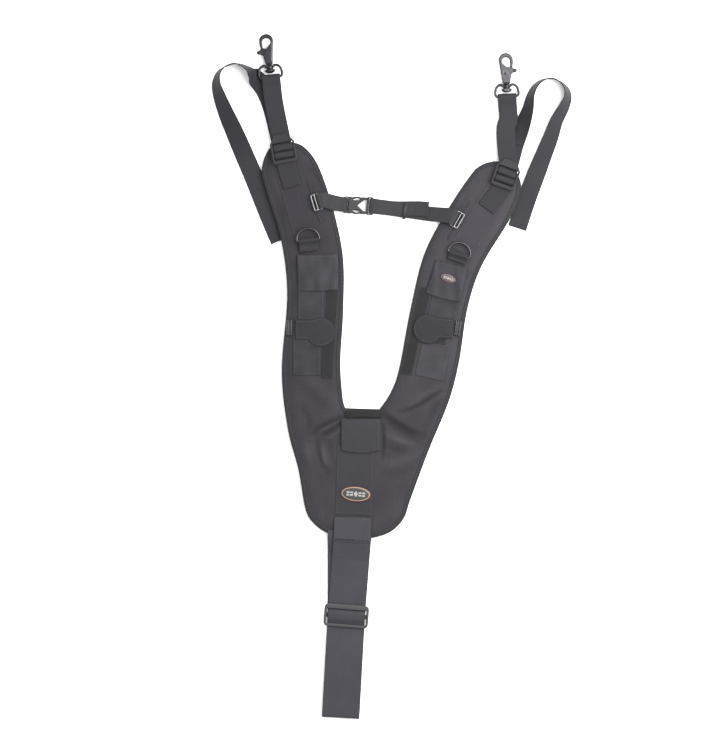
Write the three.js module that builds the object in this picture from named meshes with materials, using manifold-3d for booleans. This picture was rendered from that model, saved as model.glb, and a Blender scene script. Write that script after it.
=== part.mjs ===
// A padded Y-shaped shoulder harness, laid out flat on its back with the two snap hooks at +Y and the
// belt loop at -Y. Millimetres, +Z up, Z = 0 is the table, the origin is under the middle of the harness.
import * as THREE from "three";
import { mergeVertices } from "three/addons/utils/BufferGeometryUtils.js";
import Module from "manifold-3d";

const wasm = await Module();
wasm.setup();

// ---------------------------------------------------------------- driving dimensions
const CENTRING = { x: 1.9, y: 1 }; // moves the layout so that the harness is centred on the origin
const GAP = 0.3; // between neighbouring pieces

const LINING = { inset: 12.5, low: 0, high: 1.5 };
const FOAM = { inset: 6.2, low: 1.8, high: 8.8 };
const BINDING = { inset: 5.8, low: 2.2, high: 9 };
const FACE = { inset: 2, low: 9.3, high: 10.6 };
const PAD_TOP = FACE.high + GAP; // where a piece sewn on the pads starts
const SEWN = 1.2; // thickness of a strip or panel sewn on the pads
const FLAP_LOW = PAD_TOP + SEWN + 2 * GAP; // where a flap that lies over those panels starts
const FLAP_THICK = 1.6;

const STRAP = { width: 24.4, thick: 1.5 }; // 25 mm webbing
const STERNUM_WEB = { width: 19.5, thick: 1.2 };
const REAR = { width: 49, thick: 1.5 }; // 50 mm webbing

const LOCK = { width: 32, length: 38, low: 14.6, thick: 3, rail: 2.9 };
const LOCK_SLOTS = [[5, 9.5], [13.5, 18.5], [22.5, 27]]; // along the lock, from its end bar

const HOOK_AXIS_Z = 7;
const EYE = { halfWidth: 14.9, wire: 1.8, crown: 13.1 };
const HOOK = { half: 2.5, slotHalf: 1.4, pin: { x: 1.5, y: 29 } };

const D_RING = { halfWidth: 13.2, wire: 1.6, height: 15.5, z: 15.6 };
const RAIL = { width: 4, length: 60, high: 14.2 };
const CLIP = { low: 14.6, high: 16.4, halfLength: 11.8, bar: 7 };

// Where each side's pieces lie: x, y and the turn about Z in degrees.
const LEFT = {
  name: "left",
  hand: 1,
  lock: { x: -139.4, y: 277.9, turn: 10.5 },
  eye: { x: -158.8, y: 390, turn: 6.5 },
  tabFoot: { x: -130.4, y: 246.4 },
  strapVia: [],
  strip: { x: -124.5, y: 228.4, turn: 15.4, length: 112 },
  dRing: { x: -110.1, y: 177.4, turn: 5, tabLength: 14 },
  flap: { x: -98.6, y: 159, turn: 1.5, width: 52, length: 46 },
  pocket: { x: -106.6, y: 96.2, turn: 0, width: 34.4, length: 44 },
  lower: { x: -112.2, y: 36.4, turn: 0, width: 36, length: 69 },
  grip: { x: -81.9, y: 55.9, turn: -3.7, width: 15, length: 116 },
  tab: { x: -127, y: 61.5, turn: 0, reach: 33 },
  loop: { x: -134.6, y: 64.4, turn: 0 },
  rail: { x: -101.9, y: 226.2, turn: 16.6 },
};
const RIGHT = {
  name: "right",
  hand: -1,
  lock: { x: 141, y: 245.9, turn: -20 },
  eye: { x: 148.4, y: 365, turn: 3 },
  tabFoot: { x: 120.9, y: 218.7 },
  strapVia: [[148, 293], [146.8, 325]],
  strip: { x: 113.5, y: 204, turn: -31.7, length: 100 },
  dRing: { x: 85.3, y: 159, turn: -19, tabLength: 9.5 },
  flap: { x: 76.2, y: 147, turn: -15, width: 44, length: 45 },
  pocket: { x: 66.3, y: 92.3, turn: -13, width: 37, length: 38 },
  lower: { x: 51, y: 19, turn: -12, width: 38, length: 42 },
  grip: { x: 29.9, y: 59.8, turn: -13, width: 15, length: 116 },
  tab: { x: 78.4, y: 62.5, turn: -5, reach: 33 },
  loop: { x: 84.6, y: 63.5, turn: -8 },
  rail: { x: 85.5, y: 203, turn: -30 },
};

// The free ends of the two shoulder straps, from the ladder lock to the cut end: x, y, the height of what
// lies under them, and the roll in degrees (0 flat, 90 standing on an edge).
const LEFT_TAIL = [
  [-144.5, 300, 10.85, 0], [-148.6, 317, 8.4, 0], [-152.6, 334, 4.4, 0], [-158.2, 354, 1.6, 0],
  [-165.1, 371, 0.3, 0], [-171.8, 381.2, 0, 0], [-178.9, 388.8, 0, 26], [-183.6, 395, 0, 58],
  [-188.8, 401, 0, 74], [-197, 405.4, 0, 81], [-206, 407.2, 0, 87], [-217.1, 403.7, 0, 86],
  [-226.5, 395.2, 0, 76], [-229.5, 380.9, 0, 62], [-225.6, 365.3, 0, 49], [-216.5, 341.9, 0, 33],
  [-206, 318.5, 0, 20], [-193.7, 289.9, 0, 6], [-182.8, 264.2, 0, 0], [-160.4, 208.3, 0, 0],
  [-147.2, 177.3, 0, 0],
];
const RIGHT_TAIL = [
  [149, 270, 10.7, 0], [151.3, 277.5, 10.1, 0], [154.5, 289, 5.4, 0], [158.4, 303, 1.2, 0],
  [163.6, 317, 0, 14], [170.8, 334.1, 0, 41], [175.6, 349.7, 0, 56], [178.6, 365.3, 0, 68],
  [184, 377, 0, 75], [193.7, 385.5, 0, 82],
  [206.1, 387.9, 0, 88], [218.4, 382.9, 0, 82], [225.9, 373.1, 0, 71], [226.9, 362.7, 0, 63],
  [221.7, 349.7, 0, 54], [213.2, 334.1, 0, 46], [204.8, 310.7, 0, 33], [196, 288.6, 0, 24],
  [185.9, 262.6, 0, 10], [173.9, 230.1, 0, 0], [161.9, 193.8, 0, 0],
];

// The edge of the yoke, from the right corner of the neck round both pads to the left corner.
const YOKE_EDGE = [
  [-16.9, -42.6], [-2.1, -19.8], [8.8, 11.2], [23.4, 87.9], [41.7, 160.8], [73.6, 220.1], [101.5, 262],
  [115, 275], [133.4, 279.9], [151, 276], [163, 260.8], [165, 241], [150.3, 203.8], [114.7, 144.4],
  [96.5, 89.7], [85.5, 20.3], [71.8, -32.1], [46.3, -94.1], [22.5, -158], [13.4, -183.6], [-4, -201],
  [-29, -208.8], [-57, -209], [-85.2, -202.2], [-103.4, -189], [-113.4, -170.8], [-122.5, -119.7],
  [-136.2, -66.8], [-144, 7.8], [-137, 106.1], [-144.6, 177.3], [-162, 236], [-170, 268], [-161.5, 295],
  [-146, 304.6], [-130, 304.5], [-114, 297], [-96.3, 271.4], [-77.2, 213.7], [-65.4, 153.5],
  [-65.4, 84.2], [-69, 20.3], [-66.3, -25.2], [-62.8, -41],
];
const EDGE_STEPS = 110;

const REAR_GLIDE = { x: -60.7, y: -310.7, turn: -4.5, width: 58, length: 29.5, low: 4.2, high: 6.7 };
const REAR_END = { x: -68.2, y: -444.3 };
const REAR_UPPER_START = { x: -52.8, y: -210.6 };
const REAR_UNDER_START = { x: -60.6, y: -199 };
const BUCKLE = { x: -44.6, y: 223.2, turn: -3 };

// ---------------------------------------------------------------- materials
const metal = (color) => new THREE.MeshStandardMaterial({ color, roughness: 0.35, metalness: 0.9 });
const cloth = (color) => new THREE.MeshStandardMaterial({ color, roughness: 0.9, metalness: 0 });
const MATERIALS = {
  face: cloth(0x4d4b51),
  lining: cloth(0x2e2e31),
  foam: cloth(0x3a3a3c),
  binding: cloth(0x38383b),
  webbing: cloth(0x4a4a4e),
  grip: cloth(0x333436),
  plastic: new THREE.MeshStandardMaterial({ color: 0x3f3f43, roughness: 0.45, metalness: 0 }),
  gunmetal: metal(0x55565a),
  wire: metal(0x9b9ba0),
  patch: cloth(0x8e2f22),
};

// ---------------------------------------------------------------- geometry helpers
const radians = THREE.MathUtils.degToRad;

function welded(geometry) {
  const source = geometry.index ? geometry.toNonIndexed() : geometry;
  const bare = new THREE.BufferGeometry();
  bare.setAttribute("position", source.getAttribute("position").clone());
  return mergeVertices(bare, 1e-4);
}

function toSolid(geometry) {
  const bare = welded(geometry);
  return new wasm.Manifold(
    new wasm.Mesh({
      numProp: 3,
      vertProperties: bare.attributes.position.array,
      triVerts: new Uint32Array(bare.index.array),
    }),
  );
}

function fromSolid(solid) {
  const mesh = solid.getMesh();
  const geometry = new THREE.BufferGeometry();
  geometry.setAttribute("position", new THREE.BufferAttribute(new Float32Array(mesh.vertProperties), 3));
  geometry.setIndex(new THREE.BufferAttribute(new Uint32Array(mesh.triVerts), 1));
  return geometry;
}

const join = (...pieces) => fromSolid(pieces.map(toSolid).reduce((all, next) => all.add(next)));

function cut(body, ...tools) {
  return fromSolid(tools.map(toSolid).reduce((left, tool) => left.subtract(tool), toSolid(body)));
}

function box(x0, x1, y0, y1, z0, z1) {
  const geometry = new THREE.BoxGeometry(x1 - x0, y1 - y0, z1 - z0);
  return geometry.translate((x0 + x1) / 2, (y0 + y1) / 2, (z0 + z1) / 2);
}

function cylinderAlongY(radius, y0, y1, sides = 16) {
  return new THREE.CylinderGeometry(radius, radius, y1 - y0, sides).translate(0, (y0 + y1) / 2, 0);
}

function cylinderAlongZ(radius, x, y, z0, z1, sides = 16) {
  const geometry = new THREE.CylinderGeometry(radius, radius, z1 - z0, sides);
  return geometry.rotateX(Math.PI / 2).translate(x, y, (z0 + z1) / 2);
}

// A flat plate of the given outline between two heights, its edges rounded by `bevel`.
function plate(shape, low, high, bevel = 0, curveSegments = 6) {
  const geometry = new THREE.ExtrudeGeometry(shape, {
    depth: high - low - 2 * bevel,
    bevelEnabled: bevel > 0,
    bevelThickness: bevel,
    bevelSize: bevel,
    bevelOffset: -bevel,
    bevelSegments: 1,
    curveSegments,
  });
  return geometry.translate(0, 0, low + bevel);
}

function roundedRect(width, height, radius, x = 0, y = 0) {
  const shape = new THREE.Shape();
  const [w, h] = [width / 2 - radius, height / 2 - radius];
  shape.absarc(x + w, y - h, radius, -Math.PI / 2, 0);
  shape.absarc(x + w, y + h, radius, 0, Math.PI / 2);
  shape.absarc(x - w, y + h, radius, Math.PI / 2, Math.PI);
  shape.absarc(x - w, y - h, radius, Math.PI, 1.5 * Math.PI);
  shape.closePath();
  return shape;
}

const polygon = (points) => new THREE.Shape(points.map(([x, y]) => new THREE.Vector2(x, y)));

// Joins rings of points into one closed skin; an open run gets flat ends.
function loft(rings, closed) {
  const sides = rings[0].length;
  const positions = rings.flat().flatMap((p) => [p.x, p.y, p.z]);
  const faces = [];
  const spans = closed ? rings.length : rings.length - 1;
  for (let i = 0; i < spans; i++) {
    const a = i * sides;
    const b = ((i + 1) % rings.length) * sides;
    for (let k = 0; k < sides; k++) {
      const n = (k + 1) % sides;
      faces.push(a + k, b + k, b + n, a + k, b + n, a + n);
    }
  }
  if (!closed) {
    const last = (rings.length - 1) * sides;
    for (let k = 1; k < sides - 1; k++) {
      faces.push(0, k, k + 1, last, last + k + 1, last + k);
    }
  }
  const geometry = new THREE.BufferGeometry();
  geometry.setAttribute("position", new THREE.Float32BufferAttribute(positions, 3));
  geometry.setIndex(volumeOf(positions, faces) < 0 ? faces.reverse() : faces);
  return geometry;
}

function volumeOf(positions, faces) {
  const at = (i) => new THREE.Vector3().fromArray(positions, 3 * i);
  let six = 0;
  for (let i = 0; i < faces.length; i += 3) {
    six += at(faces[i]).dot(at(faces[i + 1]).cross(at(faces[i + 2])));
  }
  return six / 6;
}

// A flat webbing through `points` (Vector3), where `across[i]` is the direction of its width there.
function webbing(points, across, width, thick) {
  const rings = points.map((p, i) => {
    const before = points[Math.max(i - 1, 0)];
    const after = points[Math.min(i + 1, points.length - 1)];
    const tangent = after.clone().sub(before).normalize();
    const wide = across[i].clone().addScaledVector(tangent, -across[i].dot(tangent)).normalize();
    const normal = new THREE.Vector3().crossVectors(wide, tangent);
    const inner = i > 0 && i < points.length - 1 ? p.clone().sub(before).normalize() : tangent;
    const mitre = 1 / Math.max(0.75, inner.dot(tangent));
    const corner = (u, v) =>
      p.clone().addScaledVector(wide, (u * width) / 2).addScaledVector(normal, (v * thick * mitre) / 2);
    return [corner(-1, -1), corner(1, -1), corner(1, 1), corner(-1, 1)];
  });
  return loft(rings, false);
}

// A webbing whose side view is `profile`, a list of [distance, height], laid along a plan curve.
function webbingOnPlan(plan, profile, width, thick) {
  const length = plan.getLength();
  const points = [];
  const across = [];
  for (const [s, z] of profile) {
    const u = THREE.MathUtils.clamp(s / length, 0, 1);
    const tangent = plan.getTangentAt(u);
    const p = plan.getPointAt(u).addScaledVector(tangent, s - u * length);
    points.push(p.setZ(z));
    across.push(new THREE.Vector3(-tangent.y, tangent.x, 0));
  }
  return webbing(points, across, width, thick);
}

const planCurve = (points) =>
  new THREE.CatmullRomCurve3(points.map(([x, y]) => new THREE.Vector3(x, y, 0)), false, "centripetal");

// Points of an arc in a profile, angles in degrees.
function arc(s, z, radius, from, to, steps) {
  return Array.from({ length: steps + 1 }, (_, i) => {
    const a = radians(from + ((to - from) * i) / steps);
    return [s + radius * Math.cos(a), z + radius * Math.sin(a)];
  });
}

// A round wire along a closed or open flat path.
function wire(points, radius, closed, sides = 8) {
  const rings = points.map((p, i) => {
    const n = points.length;
    const before = closed ? points[(i + n - 1) % n] : points[Math.max(i - 1, 0)];
    const after = closed ? points[(i + 1) % n] : points[Math.min(i + 1, n - 1)];
    const tangent = after.clone().sub(before).normalize();
    const side = new THREE.Vector3(-tangent.y, tangent.x, 0);
    return Array.from({ length: sides }, (_, k) => {
      const a = (2 * Math.PI * k) / sides;
      return p.clone().addScaledVector(side, radius * Math.cos(a)).setZ(p.z + radius * Math.sin(a));
    });
  });
  return loft(rings, closed);
}

// ---------------------------------------------------------------- scene graph helpers
const harness = new THREE.Group();
const layout = new THREE.Group();
layout.position.set(CENTRING.x, CENTRING.y, 0);
harness.add(layout);

function add(name, geometry, material, place) {
  const mesh = new THREE.Mesh(geometry, MATERIALS[material]);
  mesh.name = name;
  if (place) {
    mesh.position.set(place.x, place.y, place.z ?? 0);
    mesh.rotation.z = radians(place.turn ?? 0);
  }
  layout.add(mesh);
  return mesh;
}

// The plan point that lies at (x, y) in a placed piece's own frame.
function planPoint(place, x, y) {
  const a = radians(place.turn);
  return [place.x + x * Math.cos(a) - y * Math.sin(a), place.y + x * Math.sin(a) + y * Math.cos(a)];
}

// ---------------------------------------------------------------- yoke
function yokeOutline() {
  const spline = new THREE.SplineCurve(YOKE_EDGE.map(([x, y]) => new THREE.Vector2(x, y)));
  return spline.getSpacedPoints(EDGE_STEPS);
}

// The outline moved inwards; it runs clockwise, so inwards is to its right.
function insetOutline(points, inset) {
  return points.map((p, i) => {
    const before = points[(i + points.length - 1) % points.length];
    const after = points[(i + 1) % points.length];
    const into = p.clone().sub(before).normalize();
    const out = after.clone().sub(p).normalize();
    const along = into.clone().add(out).normalize();
    const reach = inset / Math.max(0.6, along.dot(out));
    return new THREE.Vector2(p.x + along.y * reach, p.y - along.x * reach);
  });
}

function addYoke() {
  const outline = yokeOutline();
  const layer = (inset) => new THREE.Shape(insetOutline(outline, inset));
  const { low, high } = BINDING;
  const rim = cut(plate(layer(0), low, high), plate(layer(BINDING.inset), low - 1, high + 1));
  add("yoke_mesh_lining", plate(layer(LINING.inset), LINING.low, LINING.high), "lining");
  add("yoke_foam_core", plate(layer(FOAM.inset), FOAM.low, FOAM.high), "foam");
  add("yoke_edge_binding", rim, "binding");
  add("yoke_front_panel", plate(layer(FACE.inset), FACE.low, FACE.high), "face");
}

// A panel that hangs from its own upper edge, with a free edge that bows out by `bow`.
function flapShape(width, length, bow) {
  const half = width / 2;
  const shape = new THREE.Shape();
  shape.moveTo(-half, 0);
  shape.lineTo(-half, -length);
  shape.quadraticCurveTo(0, -length - 2 * bow, half, -length);
  shape.lineTo(half, 0);
  shape.closePath();
  return shape;
}

function addNeckAndBack() {
  const loop = { x: -37.5, y: -48, turn: 0 };
  const loopPlan = planCurve([planPoint(loop, -24, 0), planPoint(loop, 24, 0)]);
  const loopProfile = [[0, 11.7], [6, 11.7], [13, 13], [24, 13.9], [35, 13], [42, 11.7], [48, 11.7]];
  add("neck_haul_loop", webbingOnPlan(loopPlan, loopProfile, 9, SEWN), "webbing");
  const flap = flapShape(51, 41, 2);
  add("neck_flap", plate(flap, FLAP_LOW, FLAP_LOW + FLAP_THICK, 0.3), "face", { x: -42, y: -54.6, turn: 0 });
  const column = { x: -50, y: -134, turn: -2 };
  add("centre_webbing", plate(roundedRect(48, 92, 0.6), PAD_TOP, PAD_TOP + SEWN), "webbing", column);
  const badge = new THREE.Shape().absellipse(0, 0, 19.5, 9.8, 0, 2 * Math.PI);
  const oval = plate(badge, FLAP_LOW - GAP, FLAP_LOW + 0.8, 0, 24);
  add("back_patch", oval, "patch", { x: -48.4, y: -152, turn: -5 });
  const tab = plate(roundedRect(48, 33, 0.6), PAD_TOP, PAD_TOP + 1.4);
  add("rear_tab", tab, "webbing", { x: -52.9, y: -198.8, turn: -2 });
}

// ---------------------------------------------------------------- rear strap
function addRearStrap() {
  const { x, y } = REAR_GLIDE;
  const upperPlan = planCurve([[REAR_UPPER_START.x, REAR_UPPER_START.y], [x, y]]);
  const upperLength = upperPlan.getLength();
  const upper = [[0, 9.3], [7, 8.9], [16, 6.4], [28, 3.8], [50, 2.9], [upperLength - 16, 2.85]];
  upper.push([upperLength - 8.6, 2.9], [upperLength - 4.4, 5.8], [upperLength, 6.2]);

  const lowerPlan = planCurve([[x, y], [REAR_END.x, REAR_END.y]]);
  const reach = lowerPlan.getLength() - 4.4;
  const lower = [[-0.6, 6.2], [4.4, 5.8], [10, 2.9], [15, 2.85], [24, 3.4], [42, 6.6], [60, 7.8], [reach, 8.1]];
  lower.push(...arc(reach, 4.5, 3.6, 75, -75, 6), [reach, 0.9], [-0.6, 0.9]);

  const underPlan = planCurve([[REAR_UNDER_START.x, REAR_UNDER_START.y], [x, y]]);
  const under = [[0, 0.9], [underPlan.getLength(), 0.9]];
  const strap = join(
    webbingOnPlan(upperPlan, upper, REAR.width, REAR.thick),
    webbingOnPlan(lowerPlan, lower, REAR.width, REAR.thick),
    webbingOnPlan(underPlan, under, REAR.width, REAR.thick),
  );
  add("rear_strap", strap, "webbing");
}

function addTriGlide() {
  const { width, length, low, high } = REAR_GLIDE;
  const frame = roundedRect(width, length, 5);
  const inside = width - 6.6;
  for (const [y0, y1] of [[-11, -2.6], [2.6, 8.4]]) {
    frame.holes.push(new THREE.Path(roundedRect(inside, y1 - y0, 1, 0, (y0 + y1) / 2).getPoints(3)));
  }
  const bars = plate(frame, low, high, 0.5, 4);
  const recess = box(-inside / 2, inside / 2, -4, 4, high - 1.8, high + 1);
  add("tri_glide", cut(bars, recess), "plastic", REAR_GLIDE);
}

// ---------------------------------------------------------------- shoulder strap ends, on each side
function lockShape() {
  const { width, length } = LOCK;
  const half = width / 2;
  const shape = polygon([
    [-half + 2, 0], [half - 2, 0], [half, 2], [half, 27], [half - 2.5, 30], [8, length], [-8, length],
    [-half + 2.5, 30], [-half, 27], [-half, 2],
  ]);
  for (const [y0, y1] of LOCK_SLOTS) {
    const hole = roundedRect(width - 2 * LOCK.rail, y1 - y0, 0.8, 0, (y0 + y1) / 2);
    shape.holes.push(new THREE.Path(hole.getPoints(2)));
  }
  return shape;
}

function addLock(side) {
  const { low, thick, width, rail } = LOCK;
  const frame = plate(lockShape(), low, low + thick, 0.4, 2);
  const inner = width / 2 - rail;
  const sunk = box(-inner, inner, 9, 23, low + thick - 0.8, low + thick + 1);
  add(side.name + "_ladder_lock", cut(frame, sunk), "plastic", side.lock);
}

function addAnchorTab(side) {
  const { lock, tabFoot } = side;
  const foot = Math.hypot(lock.x - tabFoot.x, lock.y - tabFoot.y);
  const plan = planCurve([
    [tabFoot.x, tabFoot.y], [lock.x, lock.y], planPoint(lock, 0, 8), planPoint(lock, 0, 18),
  ]);
  const profile = [[0, 13.1], [foot, 13.1], [foot + 5.4, 13.2], [foot + 7, 14.6], [foot + 7.3, 16.8]];
  profile.push([foot + 9.2, 18], [foot + 13.4, 18], [foot + 14.7, 16.8], [foot + 14.8, 14.2]);
  add(side.name + "_anchor_tab", webbingOnPlan(plan, profile, STRAP.width, 1.3), "webbing");
}

function addHookStrap(side) {
  const { lock, eye, strapVia } = side;
  const inLock = [0, 10, 20, 28].map((y) => planPoint(lock, 0, y));
  const nearEye = [-30, -10, 0].map((y) => planPoint(eye, 0, y));
  const plan = planCurve([...inLock, ...strapVia, ...nearEye]);
  const end = plan.getLength();
  const profile = [[16.6, 14.4], [16.6, 16.8], [18.2, 18], [23, 18], [24.5, 17], [25.1, 15], [26, 13.7]];
  profile.push([28, 13.2], [35, 13.2], [46, 11.8], [60, 9.4]);
  profile.push([end - 26, 7.2], [end - 11, 7.6], [end - 5, 9.3]);
  profile.push(...arc(end, HOOK_AXIS_Z, 2.95, 100, -90, 9));
  profile.push([end - 6, 4.1], [end - 14, 4.3], [end - 26, 4.9]);
  add(side.name + "_hook_strap", webbingOnPlan(plan, profile, STRAP.width, STRAP.thick), "webbing");
}

function addTail(side, route) {
  const steps = 4 * (route.length - 1);
  const path = new THREE.CatmullRomCurve3(route.map(([x, y, z]) => new THREE.Vector3(x, y, z)), false);
  const rolls = new THREE.CatmullRomCurve3(route.map(([, , , roll]) => new THREE.Vector3(roll, 0, 0)), false);
  const points = [];
  const across = [];
  for (let i = 0; i <= steps; i++) {
    const roll = radians(Math.max(0, rolls.getPoint(i / steps).x));
    const p = path.getPoint(i / steps);
    const level = Math.max(0, p.z) + 0.05;
    p.z = level + (STRAP.width / 2) * Math.sin(roll) + (STRAP.thick / 2) * Math.cos(roll);
    const ahead = path.getTangent(i / steps).setZ(0).normalize();
    const leftward = new THREE.Vector3(-ahead.y, ahead.x, 0);
    points.push(p);
    across.push(leftward.multiplyScalar(Math.cos(roll)).setZ(side.hand * Math.sin(roll)));
  }
  add(side.name + "_strap_tail", webbing(points, across, STRAP.width, STRAP.thick - 0.1), "webbing");
}

// ---------------------------------------------------------------- snap hooks
// The swivel parts are drawn round the strap-loop bar: +y towards the hook, z = 0 at the swivel's axis.
function eyeGeometry() {
  const { halfWidth: w, wire: r, crown } = EYE;
  const outline = new THREE.CatmullRomCurve3(
    [[-4, 0], [4, 0], [w - 2, 0], [w, 2], [w, 7], [w - 1.3, 11.4], [w - 4.4, 14.5], [7.1, 15.2], [3.5, crown],
      [-3.5, crown], [-7.1, 15.2], [4.4 - w, 14.5], [1.3 - w, 11.4], [-w, 7], [-w, 2], [2 - w, 0]]
      .map(([x, y]) => new THREE.Vector3(x, y, 0)),
    true,
    "centripetal",
  );
  const ring = wire(outline.getSpacedPoints(40).slice(0, 40), r, true);
  const boss = cylinderAlongY(4.6, 10.2, 15.2);
  return cut(join(ring, boss), cylinderAlongY(2.7, 5, 20));
}

function hookShape() {
  const shape = new THREE.Shape();
  shape.moveTo(-3.8, 17);
  shape.lineTo(5.6, 17);
  shape.lineTo(7.3, 29.2);
  shape.lineTo(8.8, 41.3);
  shape.absarc(0.3, 47, 9.4, 0, Math.PI, false);
  shape.lineTo(-9, 42.4);
  shape.lineTo(-8, 37);
  shape.lineTo(-5.2, 37.2);
  shape.lineTo(-5, 41.4);
  shape.absarc(0.2, 45.7, 5.2, Math.PI, 0, true);
  shape.lineTo(5.3, 43.8);
  shape.lineTo(-0.6, 37.6);
  shape.lineTo(-3.2, 34.2);
  shape.lineTo(-5.4, 30.6);
  shape.lineTo(-6, 27.4);
  shape.lineTo(-4.8, 21.4);
  shape.closePath();
  return shape;
}

function hookGeometry() {
  const { half, slotHalf, pin } = HOOK;
  const plateBody = plate(hookShape(), -half, half, 0.9, 7);
  const shank = cylinderAlongY(2.3, 8.6, 18).translate(1, 0, 0);
  const collar = cylinderAlongY(4.3, 15.6, 17.6).translate(1, 0, 0);
  const dome = new THREE.LatheGeometry(
    [[0, 4.9], [2.6, 5.1], [4.8, 5.9], [6.3, 7.2], [6.8, 8.6], [6.5, 9.4], [5.4, 9.8], [0, 9.8]]
      .map(([x, y]) => new THREE.Vector2(x, y)),
    16,
  ).translate(1, 0, 0);
  const slot = box(-12, 5.3, 24.6, 44, -slotHalf, slotHalf);
  const upper = cut(plateBody, slot, cylinderAlongZ(1.3, pin.x, pin.y, -5, 5, 12));
  return join(upper, shank, collar, dome);
}

function gateGeometry() {
  const { pin } = HOOK;
  const lever = polygon([
    [-4.6, 38.2], [-7.2, 38.6], [-9, 36.2], [-12, 34.8], [-12.2, 31.6], [-9.2, 30.4], [-6.4, 28.4],
    [-2.4, 26.4], [1.6, 25.6], [4.4, 27.4], [4.7, 34], [3.4, 38.6], [-0.8, 37.4],
  ]);
  const leaf = plate(lever, -1.05, 1.05, 0);
  const knob = cylinderAlongZ(2.4, -11.2, 33, -2.4, 2.4, 12);
  return cut(join(leaf, knob), cylinderAlongZ(1.3, pin.x, pin.y, -5, 5, 12));
}

function pinGeometry() {
  const { pin, half } = HOOK;
  const { x, y } = pin;
  const head = half + GAP;
  return join(
    cylinderAlongZ(0.95, x, y, -head - 0.2, head + 0.2, 12),
    cylinderAlongZ(1.8, x, y, head, head + 0.6, 12),
    cylinderAlongZ(1.8, x, y, -head - 0.6, -head, 12),
  );
}

function addHook(side) {
  const group = new THREE.Group();
  group.position.set(side.eye.x, side.eye.y, HOOK_AXIS_Z);
  group.rotation.z = radians(side.eye.turn);
  group.rotation.order = "ZYX";
  if (side.hand < 0) group.rotation.y = Math.PI; // the right hook lies face down
  layout.add(group);
  const pieces = {
    swivel_eye: [eyeGeometry(), "gunmetal"],
    hook_body: [hookGeometry().translate(-1, 0, 0), "gunmetal"],
    hook_gate: [gateGeometry().translate(-1, 0, 0), "gunmetal"],
    gate_pin: [pinGeometry().translate(-1, 0, 0), "gunmetal"],
  };
  for (const [name, [geometry, material]] of Object.entries(pieces)) {
    const mesh = new THREE.Mesh(geometry, MATERIALS[material]);
    mesh.name = side.name + "_" + name;
    group.add(mesh);
  }
}

// ---------------------------------------------------------------- pieces sewn on each pad
function addPadPieces(side) {
  const { name, strip, pocket, lower, grip, flap, tab, loop } = side;
  const sewn = (piece, at, material, width = at.width) =>
    add(name + piece, plate(roundedRect(width, at.length, 0.8), PAD_TOP, PAD_TOP + SEWN, 0, 2), material, at);
  sewn("_pad_strip", strip, "webbing", 34);
  sewn("_pocket_panel", pocket, "face");
  sewn("_lower_panel", lower, "face");
  sewn("_grip_strip", grip, "grip");
  const flapPlate = plate(flapShape(flap.width, flap.length, 1), FLAP_LOW, FLAP_LOW + FLAP_THICK, 0.3);
  add(name + "_pad_flap", flapPlate, "face", flap);

  const { reach } = tab;
  const tongue = new THREE.Shape();
  tongue.moveTo(0, -13);
  tongue.lineTo(reach - 14, -13);
  tongue.absarc(reach, -3, 19, radians(-145), radians(120), false);
  tongue.lineTo(0, 13);
  tongue.closePath();
  const tabPlate = plate(tongue, FLAP_LOW, FLAP_LOW + FLAP_THICK, 0.3, 10);
  if (side.hand < 0) tabPlate.rotateY(Math.PI).translate(0, 0, 2 * FLAP_LOW + FLAP_THICK);
  add(name + "_round_tab", tabPlate, "face", tab);

  const loopPlan = planCurve([planPoint(loop, 0, -10), planPoint(loop, 0, 10)]);
  const loopProfile = [[0, 11.6], [3, 11.6], [6, 13.3], [14, 13.3], [17, 11.6], [20, 11.6]];
  add(name + "_slot_loop", webbingOnPlan(loopPlan, loopProfile, 8, 1.1), "webbing");
}

function addDRing(side) {
  const { halfWidth: w, wire: r, height, z } = D_RING;
  const bow = new THREE.EllipseCurve(0, 2.5, w + r, height - 2.5, 0, Math.PI).getPoints(16);
  const points = [[-w + 2, 0], [0, 0], [w - 2, 0], [w + 0.8, 0.6]];
  points.push(...bow.map((p) => [p.x, p.y]), [-w - 0.8, 0.6]);
  const ring = wire(points.map(([x, y]) => new THREE.Vector3(x, y, 0)), r, true);
  add(side.name + "_d_ring", ring, "gunmetal", { ...side.dRing, z });

  const foot = side.dRing.tabLength;
  const plan = planCurve([planPoint(side.dRing, 0, -foot), planPoint(side.dRing, 0, 6)]);
  const profile = [[0, 13.05], [foot - 3, 13.05], ...arc(foot, z, 2.55, -95, 130, 9)];
  profile.push([foot - 4.4, 15.3], [foot - 6, 14.7], [0, 14.6]);
  add(side.name + "_d_ring_tab", webbingOnPlan(plan, profile, 23.4, 1.15), "webbing");
}

// ---------------------------------------------------------------- sternum strap
function addRailAndClip(side) {
  const rail = box(-RAIL.width / 2, RAIL.width / 2, -RAIL.length / 2, RAIL.length / 2, PAD_TOP, RAIL.high);
  add(side.name + "_sternum_rail", rail, "binding", side.rail);

  const { low, high, halfLength: l, bar } = CLIP;
  const inner = STERNUM_WEB.width / 2 + 0.7;
  const top = new THREE.Shape(roundedRect(bar + 5, 2 * l, 1.6, (bar + 5) / 2 - 3.7, 0).getPoints(3));
  top.holes.push(new THREE.Path(roundedRect(3, 2 * inner, 0.6, bar - 2.8, 0).getPoints(2)));
  const legs = [box(-3.7, -2.4, -l + 1.6, l - 1.6, low - 2, low + 0.5)];
  legs.push(box(2.4, 2.7, -l + 1.6, l - 1.6, low - 2, low + 0.5));
  const clip = join(plate(top, low, high, 0, 3), ...legs);
  if (side.hand < 0) clip.rotateY(Math.PI).rotateX(Math.PI);
  add(side.name + "_sternum_clip", clip, "wire", side.rail);
}

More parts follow.
